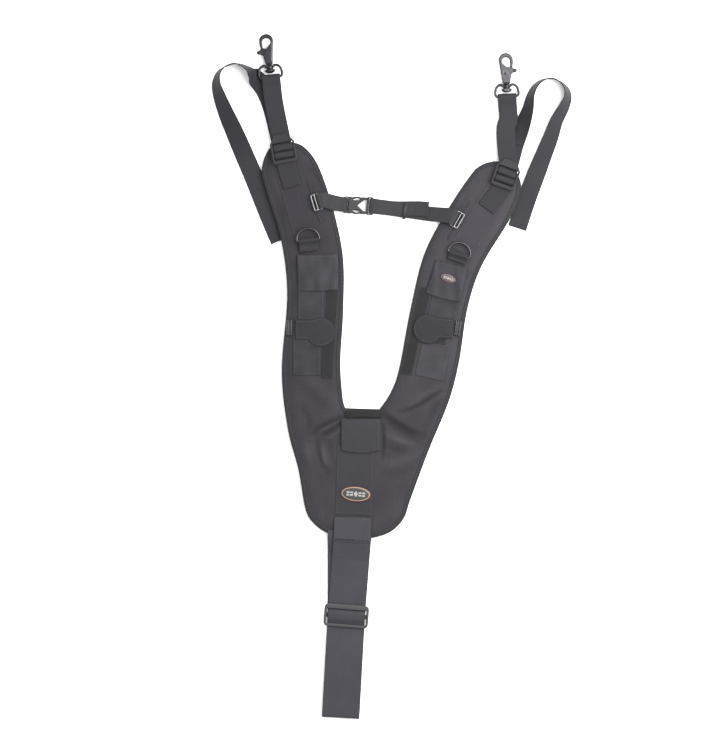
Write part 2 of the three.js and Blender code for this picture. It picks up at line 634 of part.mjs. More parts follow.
function addLeftWeb() {
  const { rail } = LEFT;
  const start = [2, CLIP.bar + 1, CLIP.bar + 5].map((x) => planPoint(rail, x, 0));
  const plan = planCurve([...start, [-76, 226.2], planPoint(BUCKLE, -19, 0), planPoint(BUCKLE, -12, 0)]);
  const end = plan.getLength();
  const bar = CLIP.bar - 2;
  const profile = [[bar + 4.5, 13.3], [bar, 13.4], [bar - 2.8, 14.2], [bar - 2.9, 16.4], [bar - 1.6, 17.3]];
  profile.push([bar + 2, 17.3], [bar + 7, 16], [bar + 15, 12.6], [end - 13, 9.5], [end - 8.6, 9.3]);
  profile.push([end - 5, 9.2], [end - 3.6, 8.2], [end - 3.5, 4.2]);
  add("left_sternum_web", webbingOnPlan(plan, profile, STERNUM_WEB.width, STERNUM_WEB.thick), "webbing");
}

function addRightWeb() {
  const { rail } = RIGHT;
  const nearClip = [-CLIP.bar - 5, -CLIP.bar - 1, -2].map((x) => planPoint(rail, x, 0));
  const nearBuckle = [14.4, 19].map((x) => planPoint(BUCKLE, x, 0));
  const plan = planCurve([...nearBuckle, [15.6, 216.8], [50, 211.8], ...nearClip]);
  const end = plan.getLength();
  const bar = end - CLIP.bar + 2;
  const profile = [[76, 11.7], [66, 9.8], [57, 8.4], [44, 7.2], [24, 8.6], [9, 9.2], [5.2, 9], [1.2, 8.6]];
  profile.push([0, 7.2], [0, 3.4], [0.9, 1.5], [3, 1.05], [6, 1.05], [12, 2.4], [24, 6.6], [44, 5.7]);
  profile.push([60, 6.4], [bar - 22, 11.4], [bar - 9, 15.8], [bar - 3.4, 17.3]);
  profile.push([bar + 1.4, 17.3], [bar + 2.8, 16.4]);
  profile.push([bar + 2.9, 14.2], [bar, 13.4], [bar - 4.5, 13.3]);
  add("right_sternum_web", webbingOnPlan(plan, profile, STERNUM_WEB.width, STERNUM_WEB.thick), "webbing");
}

function addKeeper() {
  const outer = box(-2.2, 2.2, -11.6, 11.6, 3.6, 9.5);
  const hole = box(-4, 4, -10.4, 10.4, 4.4, 8.7);
  add("web_keeper", cut(outer, hole), "plastic", { x: 15.4, y: 216.9, turn: -7.6 });
}

function addBuckle() {
  const low = 0.6;
  const high = 8.2;
  const mouth = polygon([
    [-19.6, -9.6], [-18.4, -11], [-9.6, -11], [-7, -6.6], [0, -6.6], [3.6, -11], [9, -11], [9, -9.4], [-1.3, 0],
    [9, 9.4], [9, 11], [3.6, 11], [0, 6.6], [-7, 6.6], [-9.6, 11], [-18.4, 11], [-19.6, 9.6],
  ]);
  const socket = cut(
    plate(mouth, low, high, 0.35),
    box(-11.8, -4, 4.6, 14, low + 1.6, high - 1.6),
    box(-11.8, -4, -14, -4.6, low + 1.6, high - 1.6),
    box(-4.2, 12, -14, 14, low + 1.6, high - 1.6),
    box(-17, -14, -10.3, 10.3, -2, 12),
  );
  add("buckle_socket", socket, "plastic", BUCKLE);

  const base = cut(
    plate(roundedRect(9, 23.4, 1.6, 14.6, 0), 2.4, 7.4, 0.5, 3),
    box(13, 16, -10.3, 10.3, -2, 12),
  );
  const arm = (sign) =>
    plate(
      polygon([
        [11, 7.9], [4, 8.2], [-2.6, 9.4], [-7.4, 7.6], [-10.4, 5.4], [-11.2, 6.4], [-10.6, 9.2], [-7.8, 10.6],
        [-2.4, 11.6], [4, 10.4], [11, 10.2],
      ].map(([x, y]) => [x, sign * y])),
      2.7,
      6.1,
    );
  add("buckle_insert", join(base, arm(1), arm(-1)), "plastic", BUCKLE);
}

// ---------------------------------------------------------------- the harness
addYoke();
addNeckAndBack();
addRearStrap();
addTriGlide();
for (const side of [LEFT, RIGHT]) {
  addLock(side);
  addAnchorTab(side);
  addHookStrap(side);
  addHook(side);
  addPadPieces(side);
  addDRing(side);
  addRailAndClip(side);
}
addTail(LEFT, LEFT_TAIL);
addTail(RIGHT, RIGHT_TAIL);
const flapBadge = new THREE.Shape().absellipse(0, 0, 10.2, 5, 0, 2 * Math.PI);
const badgeLow = FLAP_LOW + FLAP_THICK + GAP;
const smallBadge = plate(flapBadge, badgeLow, badgeLow + 0.8, 0, 16);
add("right_flap_patch", smallBadge, "patch", { x: 71.6, y: 128.1, turn: -20 });
const loopPatch = plate(roundedRect(28, 12, 1), PAD_TOP, PAD_TOP + SEWN, 0, 2);
add("right_loop_patch", loopPatch, "grip", { x: 55, y: 49.5, turn: -8 });
addLeftWeb();
addRightWeb();
addKeeper();
addBuckle();

export default harness;
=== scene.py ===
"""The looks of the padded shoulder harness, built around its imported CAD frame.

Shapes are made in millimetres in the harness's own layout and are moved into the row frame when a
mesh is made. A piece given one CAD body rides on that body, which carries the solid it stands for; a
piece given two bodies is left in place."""
import math

import bmesh
import bpy
import numpy as np
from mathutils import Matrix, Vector, noise
from mathutils.geometry import delaunay_2d_cdt

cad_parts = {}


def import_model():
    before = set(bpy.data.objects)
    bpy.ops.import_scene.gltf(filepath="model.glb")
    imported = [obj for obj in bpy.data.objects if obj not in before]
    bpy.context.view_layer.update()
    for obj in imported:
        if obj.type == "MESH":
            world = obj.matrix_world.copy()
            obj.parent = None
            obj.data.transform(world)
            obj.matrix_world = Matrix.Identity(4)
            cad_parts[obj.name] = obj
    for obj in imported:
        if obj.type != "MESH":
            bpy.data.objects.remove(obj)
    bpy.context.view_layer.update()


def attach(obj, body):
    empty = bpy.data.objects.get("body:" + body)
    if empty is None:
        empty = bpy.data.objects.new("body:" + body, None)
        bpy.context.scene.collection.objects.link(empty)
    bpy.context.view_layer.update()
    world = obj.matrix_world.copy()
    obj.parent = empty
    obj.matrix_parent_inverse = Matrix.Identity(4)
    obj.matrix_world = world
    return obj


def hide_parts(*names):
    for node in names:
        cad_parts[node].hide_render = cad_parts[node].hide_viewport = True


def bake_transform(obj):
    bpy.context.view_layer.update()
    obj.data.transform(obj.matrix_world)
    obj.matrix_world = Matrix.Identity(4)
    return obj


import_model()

MM = 0.001
SHIFT = np.array([1.9, 1.0, 0.0])  # from the layout to the row frame, mm

# ------------------------------------------------------------------ where things lie, mm and degrees
LEFT = {
    "name": "left", "hand": 1,
    "lock": (-139.4, 277.9, 10.5), "eye": (-158.8, 390, 6.5), "foot": (-130.4, 246.4), "via": [],
    "strip": (-124.5, 228.4, 15.4, 34, 112), "ring": (-110.1, 177.4, 5), "ring_tab": 14,
    "flap": (-98.6, 159, 1.5, 52, 46), "pocket": (-106.6, 96.2, 0, 34.4, 44),
    "lower": (-112.2, 36.4, 0, 36, 69), "grip": (-81.9, 55.9, -3.7, 15, 116),
    "tab": (-127, 61.5, 0), "loop": (-134.6, 64.4, 0), "rail": (-101.9, 226.2, 16.6),
}
RIGHT = {
    "name": "right", "hand": -1,
    "lock": (141, 245.9, -20), "eye": (148.4, 365, 3), "foot": (120.9, 218.7),
    "via": [(148, 293), (146.8, 325)],
    "strip": (113.5, 204, -31.7, 34, 100), "ring": (85.3, 159, -19), "ring_tab": 9.5,
    "flap": (76.2, 147, -15, 44, 45), "pocket": (66.3, 92.3, -13, 37, 38),
    "lower": (51, 19, -12, 38, 42), "grip": (29.9, 59.8, -13, 15, 116),
    "tab": (78.4, 62.5, -5), "loop": (84.6, 63.5, -8), "rail": (85.5, 203, -30),
}
SIDES = (LEFT, RIGHT)

# The free strap ends, from the ladder lock to the cut end: x, y, height of what lies under, roll.
LEFT_TAIL = [
    (-144.5, 300, 10.85, 0), (-148.6, 317, 8.4, 0), (-152.6, 334, 4.4, 0), (-158.2, 354, 1.6, 0),
    (-165.1, 371, 0.3, 0), (-171.8, 381.2, 0, 0), (-178.9, 388.8, 0, 26), (-183.6, 395, 0, 58),
    (-188.8, 401, 0, 74), (-197, 405.4, 0, 81), (-206, 407.2, 0, 87), (-217.1, 403.7, 0, 86),
    (-226.5, 395.2, 0, 76), (-229.5, 380.9, 0, 62), (-225.6, 365.3, 0, 49), (-216.5, 341.9, 0, 33),
    (-206, 318.5, 0, 20), (-193.7, 289.9, 0, 6), (-182.8, 264.2, 0, 0), (-160.4, 208.3, 0, 0),
    (-147.2, 177.3, 0, 0),
]
RIGHT_TAIL = [
    (149, 270, 10.7, 0), (151.3, 277.5, 10.1, 0), (154.5, 289, 5.4, 0), (158.4, 303, 1.2, 0),
    (163.6, 317, 0, 14), (170.8, 334.1, 0, 41), (175.6, 349.7, 0, 56), (178.6, 365.3, 0, 68),
    (184, 377, 0, 75), (193.7, 385.5, 0, 82), (206.1, 387.9, 0, 88), (218.4, 382.9, 0, 82),
    (225.9, 373.1, 0, 71), (226.9, 362.7, 0, 63), (221.7, 349.7, 0, 54), (213.2, 334.1, 0, 46),
    (204.8, 310.7, 0, 33), (196, 288.6, 0, 24), (185.9, 262.6, 0, 10), (173.9, 230.1, 0, 0),
    (161.9, 193.8, 0, 0),
]
YOKE_EDGE = [
    (-16.9, -42.6), (-2.1, -19.8), (8.8, 11.2), (23.4, 87.9), (41.7, 160.8), (73.6, 220.1), (101.5, 262),
    (115, 275), (133.4, 279.9), (151, 276), (163, 260.8), (165, 241), (150.3, 203.8), (114.7, 144.4),
    (96.5, 89.7), (85.5, 20.3), (71.8, -32.1), (46.3, -94.1), (22.5, -158), (13.4, -183.6), (-4, -201),
    (-29, -208.8), (-57, -209), (-85.2, -202.2), (-103.4, -189), (-113.4, -170.8), (-122.5, -119.7),
    (-136.2, -66.8), (-144, 7.8), (-137, 106.1), (-144.6, 177.3), (-162, 236), (-170, 268), (-161.5, 295),
    (-146, 304.6), (-130, 304.5), (-114, 297), (-96.3, 271.4), (-77.2, 213.7), (-65.4, 153.5),
    (-65.4, 84.2), (-69, 20.3), (-66.3, -25.2), (-62.8, -41),
]
PAD_TOP = 10.6  # the face cloth at the middle of a pad
PAD_EDGE = 7.7  # where the crown of the foam starts
SHOULDER_WEB, CHEST_WEB, REAR_WEB = 24.4, 19.5, 49  # webbing widths
HOOK_Z = 7.0  # the height of the snap hooks' middle
GLIDE = (-60.7, -310.7, -4.5)
REAR_END = (-68.2, -444.3)
BUCKLE = (-44.6, 223.2, -3)
KEEPER = (15.4, 216.9, -7.6)


# ------------------------------------------------------------------ materials
def srgb(r, g, b):
    """A linear colour from an sRGB one, 0 to 255."""
    return tuple(((c / 255 + 0.055) / 1.055) ** 2.4 if c > 10 else c / 255 / 12.92 for c in (r, g, b)) + (1,)


class Nodes:
    """Small helper that strings shader nodes together."""

    def __init__(self, name):
        self.material = bpy.data.materials.new(name)
        self.material.use_nodes = True
        self.tree = self.material.node_tree
        self.shader = self.tree.nodes["Principled BSDF"]

    def add(self, kind, inputs=None, **settings):
        node = self.tree.nodes.new(kind)
        for key, value in settings.items():
            setattr(node, key, value)
        for key, value in (inputs or {}).items():
            if isinstance(value, bpy.types.NodeSocket):
                self.tree.links.new(value, node.inputs[key])
            else:
                node.inputs[key].default_value = value
        return node

    def math(self, operation, a, b=0.0):
        return self.add("ShaderNodeMath", {0: a, 1: b}, operation=operation).outputs[0]

    def noise(self, vector, scale, detail=2.0, rough=0.5):
        inputs = {"Vector": vector, "Scale": scale, "Detail": detail, "Roughness": rough}
        return self.add("ShaderNodeTexNoise", inputs).outputs["Fac"]

    def ramp(self, value, low, high, a, b):
        """Linear map of value from low..high to a..b."""
        inputs = {"Value": value, "From Min": low, "From Max": high, "To Min": a, "To Max": b}
        return self.add("ShaderNodeMapRange", inputs).outputs["Result"]

    def tint(self, color, *factors):
        """The colour multiplied by each factor socket."""
        value = factors[0]
        for other in factors[1:]:
            value = self.math("MULTIPLY", value, other)
        node = self.add(
            "ShaderNodeMix",
            {"Factor": 1.0, "A": color, "B": value},
            data_type="RGBA",
            blend_type="MULTIPLY",
        )
        return node.outputs[2]

    def bump(self, height, strength, distance, normal=None):
        inputs = {"Height": height, "Strength": strength, "Distance": distance}
        if normal is not None:
            inputs["Normal"] = normal
        return self.add("ShaderNodeBump", inputs).outputs["Normal"]

    def set(self, **sockets):
        names = {"color": "Base Color", "rough": "Roughness", "metal": "Metallic", "normal": "Normal",
                 "sheen": "Sheen Weight", "sheen_rough": "Sheen Roughness", "spec": "Specular IOR Level",
                 "sheen_tint": "Sheen Tint", "coat": "Coat Weight", "coat_rough": "Coat Roughness"}
        for key, value in sockets.items():
            socket = self.shader.inputs[names[key]]
            if isinstance(value, bpy.types.NodeSocket):
                self.tree.links.new(value, socket)
            else:
                socket.default_value = value


def coordinates(n, kind):
    """Metres along the surface: UV on ribbons, object space elsewhere."""
    node = n.add("ShaderNodeTexCoord")
    return node.outputs["UV" if kind == "uv" else "Object"]


def cloth_material(name, color, pitch=0.9, turn=0.0, grain=0.16):
    """Plain-woven nylon: threads over and under each other, each thread a little lighter or darker."""
    n = Nodes(name)
    place = coordinates(n, "object")
    turned = n.add("ShaderNodeMapping", {"Vector": place, "Rotation": (0, 0, turn)}).outputs[0]
    split = n.add("ShaderNodeSeparateXYZ", {"Vector": turned})
    wave = 2 * math.pi / (pitch * MM)
    over = n.math("SINE", n.math("MULTIPLY", split.outputs["X"], wave))
    under = n.math("SINE", n.math("MULTIPLY", split.outputs["Y"], wave))
    weave = n.math("MULTIPLY", over, under)
    warp = n.add("ShaderNodeMapping", {"Vector": turned, "Scale": (1.0, 0.04, 0.3)}).outputs[0]
    weft = n.add("ShaderNodeMapping", {"Vector": turned, "Scale": (0.04, 1.0, 0.3)}).outputs[0]
    threads = n.math("ADD", n.noise(warp, 1300.0, 1.0), n.noise(weft, 1300.0, 1.0))
    cloudy = n.noise(place, 14.0, 3.0, 0.55)
    shade = n.ramp(threads, 0.6, 1.4, 1 - grain, 1 + grain)
    patch = n.ramp(cloudy, 0.3, 0.7, 0.9, 1.1)
    # Colour follows the weave's height: painted shade where threads dip under, painted light where they ride
    # over.
    weave_shade = n.ramp(weave, -1.0, 1.0, 0.94, 1.05)
    # The 'fold' attribute scales the colour: painted shade in creases and on the left pad, painted light on
    # ridges and on the right pad.
    fold = n.add("ShaderNodeAttribute", attribute_name="fold").outputs["Fac"]
    folded = n.ramp(fold, -1.0, 1.0, 0.48, 1.52)
    small = n.bump(n.noise(place, 180.0, 2.0), 0.18, 0.0004)
    n.set(color=n.tint(color, shade, patch, weave_shade, folded), rough=n.ramp(cloudy, 0.3, 0.7, 0.66, 0.8),
          normal=n.bump(weave, 0.5, 0.12 * MM, small), sheen=0.06, sheen_rough=0.45,
          sheen_tint=(0.72, 0.72, 0.8, 1), spec=0.16)
    return n.material


def webbing_material(name, color, rib=1.55, pick=1.15):
    """Flat-woven webbing: ribs along its length with slanted picks that turn at each rib."""
    n = Nodes(name)
    place = coordinates(n, "uv")
    split = n.add("ShaderNodeSeparateXYZ", {"Vector": place})
    across, along = split.outputs["X"], split.outputs["Y"]
    column = n.math("PINGPONG", across, rib * MM)
    slant = n.math("ADD", along, n.math("MULTIPLY", column, 0.8))
    picks = n.math("SINE", n.math("MULTIPLY", slant, 2 * math.pi / (pick * MM)))
    ribs = n.math("COSINE", n.math("MULTIPLY", across, 2 * math.pi / (rib * MM)))
    height = n.math("ADD", n.math("MULTIPLY", picks, 0.55), n.math("MULTIPLY", ribs, 0.45))
    lengthwise = n.add("ShaderNodeMapping", {"Vector": place, "Scale": (1.0, 0.03, 1.0)}).outputs[0]
    yarn = n.noise(lengthwise, 900.0, 2.0)
    cloudy = n.noise(place, 22.0, 3.0, 0.6)
    fuzz = n.noise(place, 2600.0, 1.0)
    # The colour's last factor follows the weave's height: painted shade in the low parts of the ribs and
    # picks.
    n.set(color=n.tint(color, n.ramp(yarn, 0.3, 0.7, 0.95, 1.05), n.ramp(cloudy, 0.3, 0.7, 0.9, 1.1),
                       n.ramp(height, -1.0, 1.0, 0.95, 1.04)),
          rough=n.ramp(fuzz, 0.3, 0.7, 0.6, 0.76), normal=n.bump(height, 0.3, 0.16 * MM), sheen=0.05,
          sheen_rough=0.4, sheen_tint=(0.78, 0.78, 0.84, 1), spec=0.18)
    return n.material


def tape_material(name, color):
    """Grosgrain: ribs straight across the tape."""
    n = Nodes(name)
    place = coordinates(n, "uv")
    along = n.add("ShaderNodeSeparateXYZ", {"Vector": place}).outputs["Y"]
    ribs = n.math("SINE", n.math("MULTIPLY", along, 2 * math.pi / (0.85 * MM)))
    cloudy = n.noise(place, 30.0, 3.0)
    # The colour is darker in the grooves between the ribs: painted shade.
    n.set(color=n.tint(color, n.ramp(ribs, -1.0, 1.0, 0.86, 1.08), n.ramp(cloudy, 0.3, 0.7, 0.9, 1.1)),
          rough=0.74, normal=n.bump(ribs, 0.4, 0.14 * MM), sheen=0.05, sheen_rough=0.45, spec=0.16)
    return n.material


def pile_material(name, color):
    """Hook-and-loop pile: a dense fuzz of tiny loops."""
    n = Nodes(name)
    place = coordinates(n, "object")
    loops = n.add("ShaderNodeTexVoronoi", {"Vector": place, "Scale": 1500.0}).outputs["Distance"]
    fuzz = n.noise(place, 2200.0, 3.0, 0.7)
    cloudy = n.noise(place, 60.0, 2.0)
    height = n.math("SUBTRACT", fuzz, loops)
    n.set(color=n.tint(color, n.ramp(fuzz, 0.3, 0.7, 0.75, 1.25), n.ramp(cloudy, 0.3, 0.7, 0.92, 1.08)),
          rough=0.95, normal=n.bump(height, 0.8, 0.35 * MM), sheen=0.08, sheen_rough=0.6, spec=0.08)
    return n.material


def mesh_material(name, color):
    """Knitted spacer mesh: small round holes in rows."""
    n = Nodes(name)
    place = coordinates(n, "object")
    split = n.add("ShaderNodeSeparateXYZ", {"Vector": place})
    wave = 2 * math.pi / (3.2 * MM)
    a = n.math("SINE", n.math("MULTIPLY", split.outputs["X"], wave))
    b = n.math("SINE", n.math("MULTIPLY", split.outputs["Y"], wave))
    holes = n.math("MULTIPLY", a, b)
    knit = n.noise(place, 1500.0, 2.0)
    # The holes are painted dark: painted shade inside them.
    n.set(color=n.tint(color, n.ramp(holes, 0.15, 0.5, 1.15, 0.3), n.ramp(knit, 0.3, 0.7, 0.85, 1.15)),
          rough=0.9, normal=n.bump(holes, 0.7, -0.6 * MM), sheen=0.3, sheen_rough=0.5, spec=0.2)
    return n.material


def plastic_material(name, color, rough=0.4, spec=0.4):
    """Moulded acetal: a fine satin texture with rubbed spots."""
    n = Nodes(name)
    place = coordinates(n, "object")
    fine = n.noise(place, 1800.0, 2.0)
    worn = n.noise(place, 90.0, 4.0, 0.65)
    n.set(color=n.tint(color, n.ramp(worn, 0.35, 0.7, 0.92, 1.12)),
          rough=n.ramp(worn, 0.3, 0.7, rough - 0.08, rough + 0.1),
          normal=n.bump(fine, 0.25, 0.06 * MM), spec=spec)
    return n.material


def metal_material(name, color, rough=0.3):
    """Plated metal: smooth, with fine handling marks and a mottled tone."""
    n = Nodes(name)
    place = coordinates(n, "object")
    drawn = n.add("ShaderNodeMapping", {"Vector": place, "Scale": (1.0, 0.12, 1.0)}).outputs[0]
    marks = n.noise(drawn, 1600.0, 3.0, 0.7)
    worn = n.noise(place, 130.0, 4.0, 0.6)
    n.set(color=n.tint(color, n.ramp(worn, 0.3, 0.7, 0.82, 1.18)), metal=1.0,
          rough=n.ramp(marks, 0.3, 0.75, rough - 0.06, rough + 0.16),
          normal=n.bump(marks, 0.35, 0.03 * MM))
    return n.material


def thread_material(name, color):
    n = Nodes(name)
    place = coordinates(n, "object")
    twist = n.noise(place, 3000.0, 1.0)
    n.set(color=n.tint(color, n.ramp(twist, 0.3, 0.7, 0.8, 1.2)), rough=0.55, sheen=0.3, spec=0.4)
    return n.material


def rubber_material(name, color):
    """Moulded soft badge rubber."""
    n = Nodes(name)
    place = coordinates(n, "object")
    fine = n.noise(place, 1200.0, 2.0)
    n.set(color=n.tint(color, n.ramp(fine, 0.3, 0.7, 0.94, 1.06)), rough=0.5,
          normal=n.bump(fine, 0.2, 0.05 * MM), spec=0.45)
    return n.material


MATERIALS = {
    "face": cloth_material("face_nylon", srgb(38, 36, 40), turn=0.05),
    "flap": cloth_material("flap_nylon", srgb(37, 36, 40), pitch=0.75, grain=0.12),
    "tab": cloth_material("tab_nylon", srgb(30, 29, 31), pitch=0.75, grain=0.12),
    "band": cloth_material("band_nylon", srgb(37, 35, 40), pitch=0.8, grain=0.12),
    "webbing": webbing_material("webbing_25", srgb(28, 27, 31)),
    "rear_webbing": webbing_material("webbing_50", srgb(43, 42, 47), rib=1.8, pick=1.3),
    "centre_webbing": webbing_material("webbing_back", srgb(32, 31, 35), rib=1.8, pick=1.3),
    "chest_webbing": webbing_material("webbing_20", srgb(33, 32, 34)),
    "binding": tape_material("edge_tape", srgb(32, 32, 34)),
    "pile": pile_material("hook_pile", srgb(28, 27, 28)),
    "lining": mesh_material("spacer_mesh", srgb(27, 27, 29)),
    "plastic": plastic_material("acetal", srgb(26, 25, 27), 0.6, 0.2),
    "glide": plastic_material("acetal_glide", srgb(38, 37, 41), 0.45),
    "buckle": plastic_material("acetal_buckle", srgb(28, 29, 30), 0.48, 0.26),
    "gunmetal": metal_material("black_nickel", srgb(49, 48, 51), 0.26),
    # A lighter copy of the hook metal, for the right hook on the key light's side: painted reflection.
    "face_metal": metal_material("lit_copy_nickel", srgb(52, 51, 53), 0.3),
    "ring_metal": metal_material("ring_nickel", srgb(61, 61, 64), 0.22),
    "bright": metal_material("nickel_wire", srgb(93, 93, 95), 0.26),
    "thread": thread_material("thread", srgb(35, 33, 36)),
    "dark_thread": thread_material("bar_tack_thread", srgb(20, 19, 21)),
    "badge_rim": rubber_material("badge_rim", srgb(73, 24, 20)),
    "badge_ring": rubber_material("badge_ring", srgb(114, 97, 76)),
    "badge_field": rubber_material("badge_field", srgb(21, 20, 22)),
    "badge_mark": rubber_material("badge_mark", srgb(121, 118, 115)),
    "small_rim": rubber_material("small_badge_rim", srgb(55, 27, 25)),
    "small_ring": rubber_material("small_badge_ring", srgb(84, 66, 68)),
    "small_field": rubber_material("small_badge_field", srgb(44, 33, 34)),
    # A lighter metal for the left hook's spine ridge: a painted highlight.
    "worn_metal": metal_material("painted_highlight_nickel", srgb(92, 91, 94), 0.3),
    # A light colour for the slot band's three ribs: painted highlights along its webbing edges.
    "edge_highlight_ribs": thread_material("painted_edge_highlight", srgb(62, 61, 64)),
}


# ------------------------------------------------------------------ mesh making
def place_points(place, points):
    """Points (x, y[, z]) in a placed piece's own frame, in the layout, mm."""
    x, y, turn = place[:3]
    a = math.radians(turn)
    p = np.atleast_2d(np.asarray(points, float))
    out = np.zeros((len(p), 3))
    out[:, 0] = x + p[:, 0] * math.cos(a) - p[:, 1] * math.sin(a)
    out[:, 1] = y + p[:, 0] * math.sin(a) + p[:, 1] * math.cos(a)
    if p.shape[1] > 2:
        out[:, 2] = p[:, 2]
    return out


def world(p):
    """A layout point in mm as a row-frame point in metres."""
    return tuple((np.asarray(p, float) + SHIFT) * MM)


class Build:
    """Collects the parts of one piece's mesh."""

    def __init__(self):
        self.verts, self.faces, self.uvs, self.slots, self.count = [], [], [], [], 0

    def add(self, verts, faces, slot=0, uvs=None):
        verts = np.asarray(verts, float)
        self.verts.append(verts)
        self.uvs.append(verts[:, :2] if uvs is None else np.asarray(uvs, float))
        self.faces += [[i + self.count for i in f] for f in faces]
        self.slots += [slot] * len(faces) if np.isscalar(slot) else list(slot)
        self.count += len(verts)
        return self

    def plan(self):
        """The x and y of every point so far."""
        return np.vstack(self.verts)[:, :2]

    def finish(self, name, materials, body=None, stands_for=(), slot=None, smooth=True):
        mesh = bpy.data.meshes.new(name)
        points = (np.vstack(self.verts) + SHIFT) * MM
        mesh.from_pydata(points.tolist(), [], self.faces)
        uv = np.vstack(self.uvs) * MM
        layer = mesh.uv_layers.new(name="UVMap")
        corners = np.zeros(len(mesh.loops), int)
        mesh.loops.foreach_get("vertex_index", corners)
        layer.data.foreach_set("uv", uv[corners].ravel())
        for key in [materials] if isinstance(materials, str) else materials:
            mesh.materials.append(MATERIALS[key])
        mesh.polygons.foreach_set("material_index", self.slots)
        mesh.polygons.foreach_set("use_smooth", [smooth] * len(mesh.polygons))
        mesh.validate()
        mesh.update()
        piece = bpy.data.objects.new(name, mesh)
        bpy.context.scene.collection.objects.link(piece)
        outward(piece)
        if isinstance(body, tuple):
            world(body[2])
            world(body[3])
            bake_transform(piece)
        elif body:
            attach(piece, body)
        if stands_for:
            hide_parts(*([stands_for] if isinstance(stands_for, str) else stands_for))
        return piece


def bending(a, b, place, start, end):
    p = place_points(place, [start, end])
    return a, b, p[0], p[1]


def outward(piece):
    """Turns every closed shell of a mesh so that its faces point out."""
    work = bmesh.new()
    work.from_mesh(piece.data)
    bmesh.ops.recalc_face_normals(work, faces=work.faces)
    work.to_mesh(piece.data)
    work.free()


def spline(points, step=1.5, closed=False, alpha=0.5):
    """A smooth curve through points, resampled evenly about every `step`, in any number of dimensions."""
    p = np.asarray(points, float)
    if closed:
        p = np.vstack([p[-1], p, p[0], p[1]])
    else:
        p = np.vstack([2 * p[0] - p[1], p, 2 * p[-1] - p[-2]])
    out = []
    for i in range(1, len(p) - 2):
        p0, p1, p2, p3 = p[i - 1 : i + 3]
        t0 = 0.0
        t1 = t0 + max(np.linalg.norm(p1 - p0), 1e-6) ** alpha
        t2 = t1 + max(np.linalg.norm(p2 - p1), 1e-6) ** alpha
        t3 = t2 + max(np.linalg.norm(p3 - p2), 1e-6) ** alpha
        count = max(2, int(np.linalg.norm(p2 - p1) / step * 2) + 2)
        t = np.linspace(t1, t2, count, endpoint=False)[:, None]
        a1 = (t1 - t) / (t1 - t0) * p0 + (t - t0) / (t1 - t0) * p1
        a2 = (t2 - t) / (t2 - t1) * p1 + (t - t1) / (t2 - t1) * p2
        a3 = (t3 - t) / (t3 - t2) * p2 + (t - t2) / (t3 - t2) * p3
        b1 = (t2 - t) / (t2 - t0) * a1 + (t - t0) / (t2 - t0) * a2
        b2 = (t3 - t) / (t3 - t1) * a2 + (t - t1) / (t3 - t1) * a3
        out.append((t2 - t) / (t2 - t1) * b1 + (t - t1) / (t2 - t1) * b2)
    curve = np.vstack(out + [p[-2][None]])
    return resample(curve, step, closed)


def distances(path):
    """How far along a path each of its points lies."""
    return np.r_[0, np.cumsum(np.linalg.norm(np.diff(path, axis=0), axis=1))]


def sample(at, run, values):
    """The rows of values, which stand at the distances run, interpolated at the distances at."""
    return np.stack([np.interp(at, run, column) for column in values.T], -1)


def resample(curve, step, closed=False):
    curve = np.asarray(curve, float)
    run = distances(curve)
    at = np.linspace(0, run[-1], max(3, int(round(run[-1] / step)) + 1))
    return sample(at[:-1] if closed else at, run, curve)


def unit(v):
    return v / np.maximum(np.linalg.norm(v, axis=-1, keepdims=True), 1e-12)


def tangents(points, closed=False):
    if closed:
        return unit(np.roll(points, -1, 0) - np.roll(points, 1, 0))
    return unit(np.gradient(points, axis=0))


def loft(rings, closed=False):
    """Faces between rings of equal size, with ends unless closed. rings is (n, k, 3)."""
    rings = np.asarray(rings, float)
    n, k = rings.shape[:2]
    faces = []
    for i in range(n if closed else n - 1):
        a, b = i * k, ((i + 1) % n) * k
        faces += [(a + j, b + j, b + (j + 1) % k, a + (j + 1) % k) for j in range(k)]
    verts = rings.reshape(-1, 3)
    if not closed:
        faces += [tuple(range(k))[::-1], tuple((n - 1) * k + j for j in range(k))]
    return verts, faces


def circle(sides):
    return np.linspace(0, 2 * math.pi, sides, endpoint=False)


def tube(points, radius, sides, closed=False):
    """A round bar along a path that is nowhere upright; radius may vary along it."""
    p = np.asarray(points, float)
    t = tangents(p, closed)
    side = unit(np.cross(t, (0.0, 0.0, 1.0)))
    normal = np.cross(side, t)
    r = np.broadcast_to(np.asarray(radius, float), (len(p),))[:, None, None]
    a = circle(sides)[None, :, None]
    rings = p[:, None] + r * (np.cos(a) * side[:, None] + np.sin(a) * normal[:, None])
    return loft(rings, closed)


def ribbon_section(width, thick, cup=0.0, columns=9):
    """Cross-section of webbing: u across, w through, with rounded selvedges."""
    half, r = width / 2, thick / 2
    flat = np.linspace(-half + r, half - r, columns)
    bow = cup * (1 - (flat / half) ** 2)
    arc = np.radians([60, 20, -20, -60])
    right = np.stack([half - r + r * np.cos(arc), r * np.sin(arc)], 1)
    left = np.stack([-half + r - r * np.cos(arc), -r * np.sin(arc)], 1)
    top = np.stack([flat, r + bow], 1)
    bottom = np.stack([flat[::-1], -r + bow[::-1]], 1)
    return np.vstack([top, right, bottom, left])


def ribbon(points, across, width, thick, cup=0.0, columns=9, start=0.0):
    """Webbing along points, its width along `across`. Returns what Build.add() takes, with UVs in mm."""
    p = np.asarray(points, float)
    t = tangents(p)
    a = np.asarray(across, float)
    a = unit(a - (a * t).sum(1, keepdims=True) * t)
    normal = np.cross(a, t)
    section = ribbon_section(width, thick, cup, columns)
    rings = p[:, None] + section[None, :, :1] * a[:, None] + section[None, :, 1:] * normal[:, None]
    verts, faces = loft(rings)
    uv = np.zeros((len(p), len(section), 2))
    uv[:, :, 0] = section[:, 0]
    uv[:, :, 1] = start + distances(p)[:, None]
    return verts, faces, 0, uv.reshape(-1, 2)


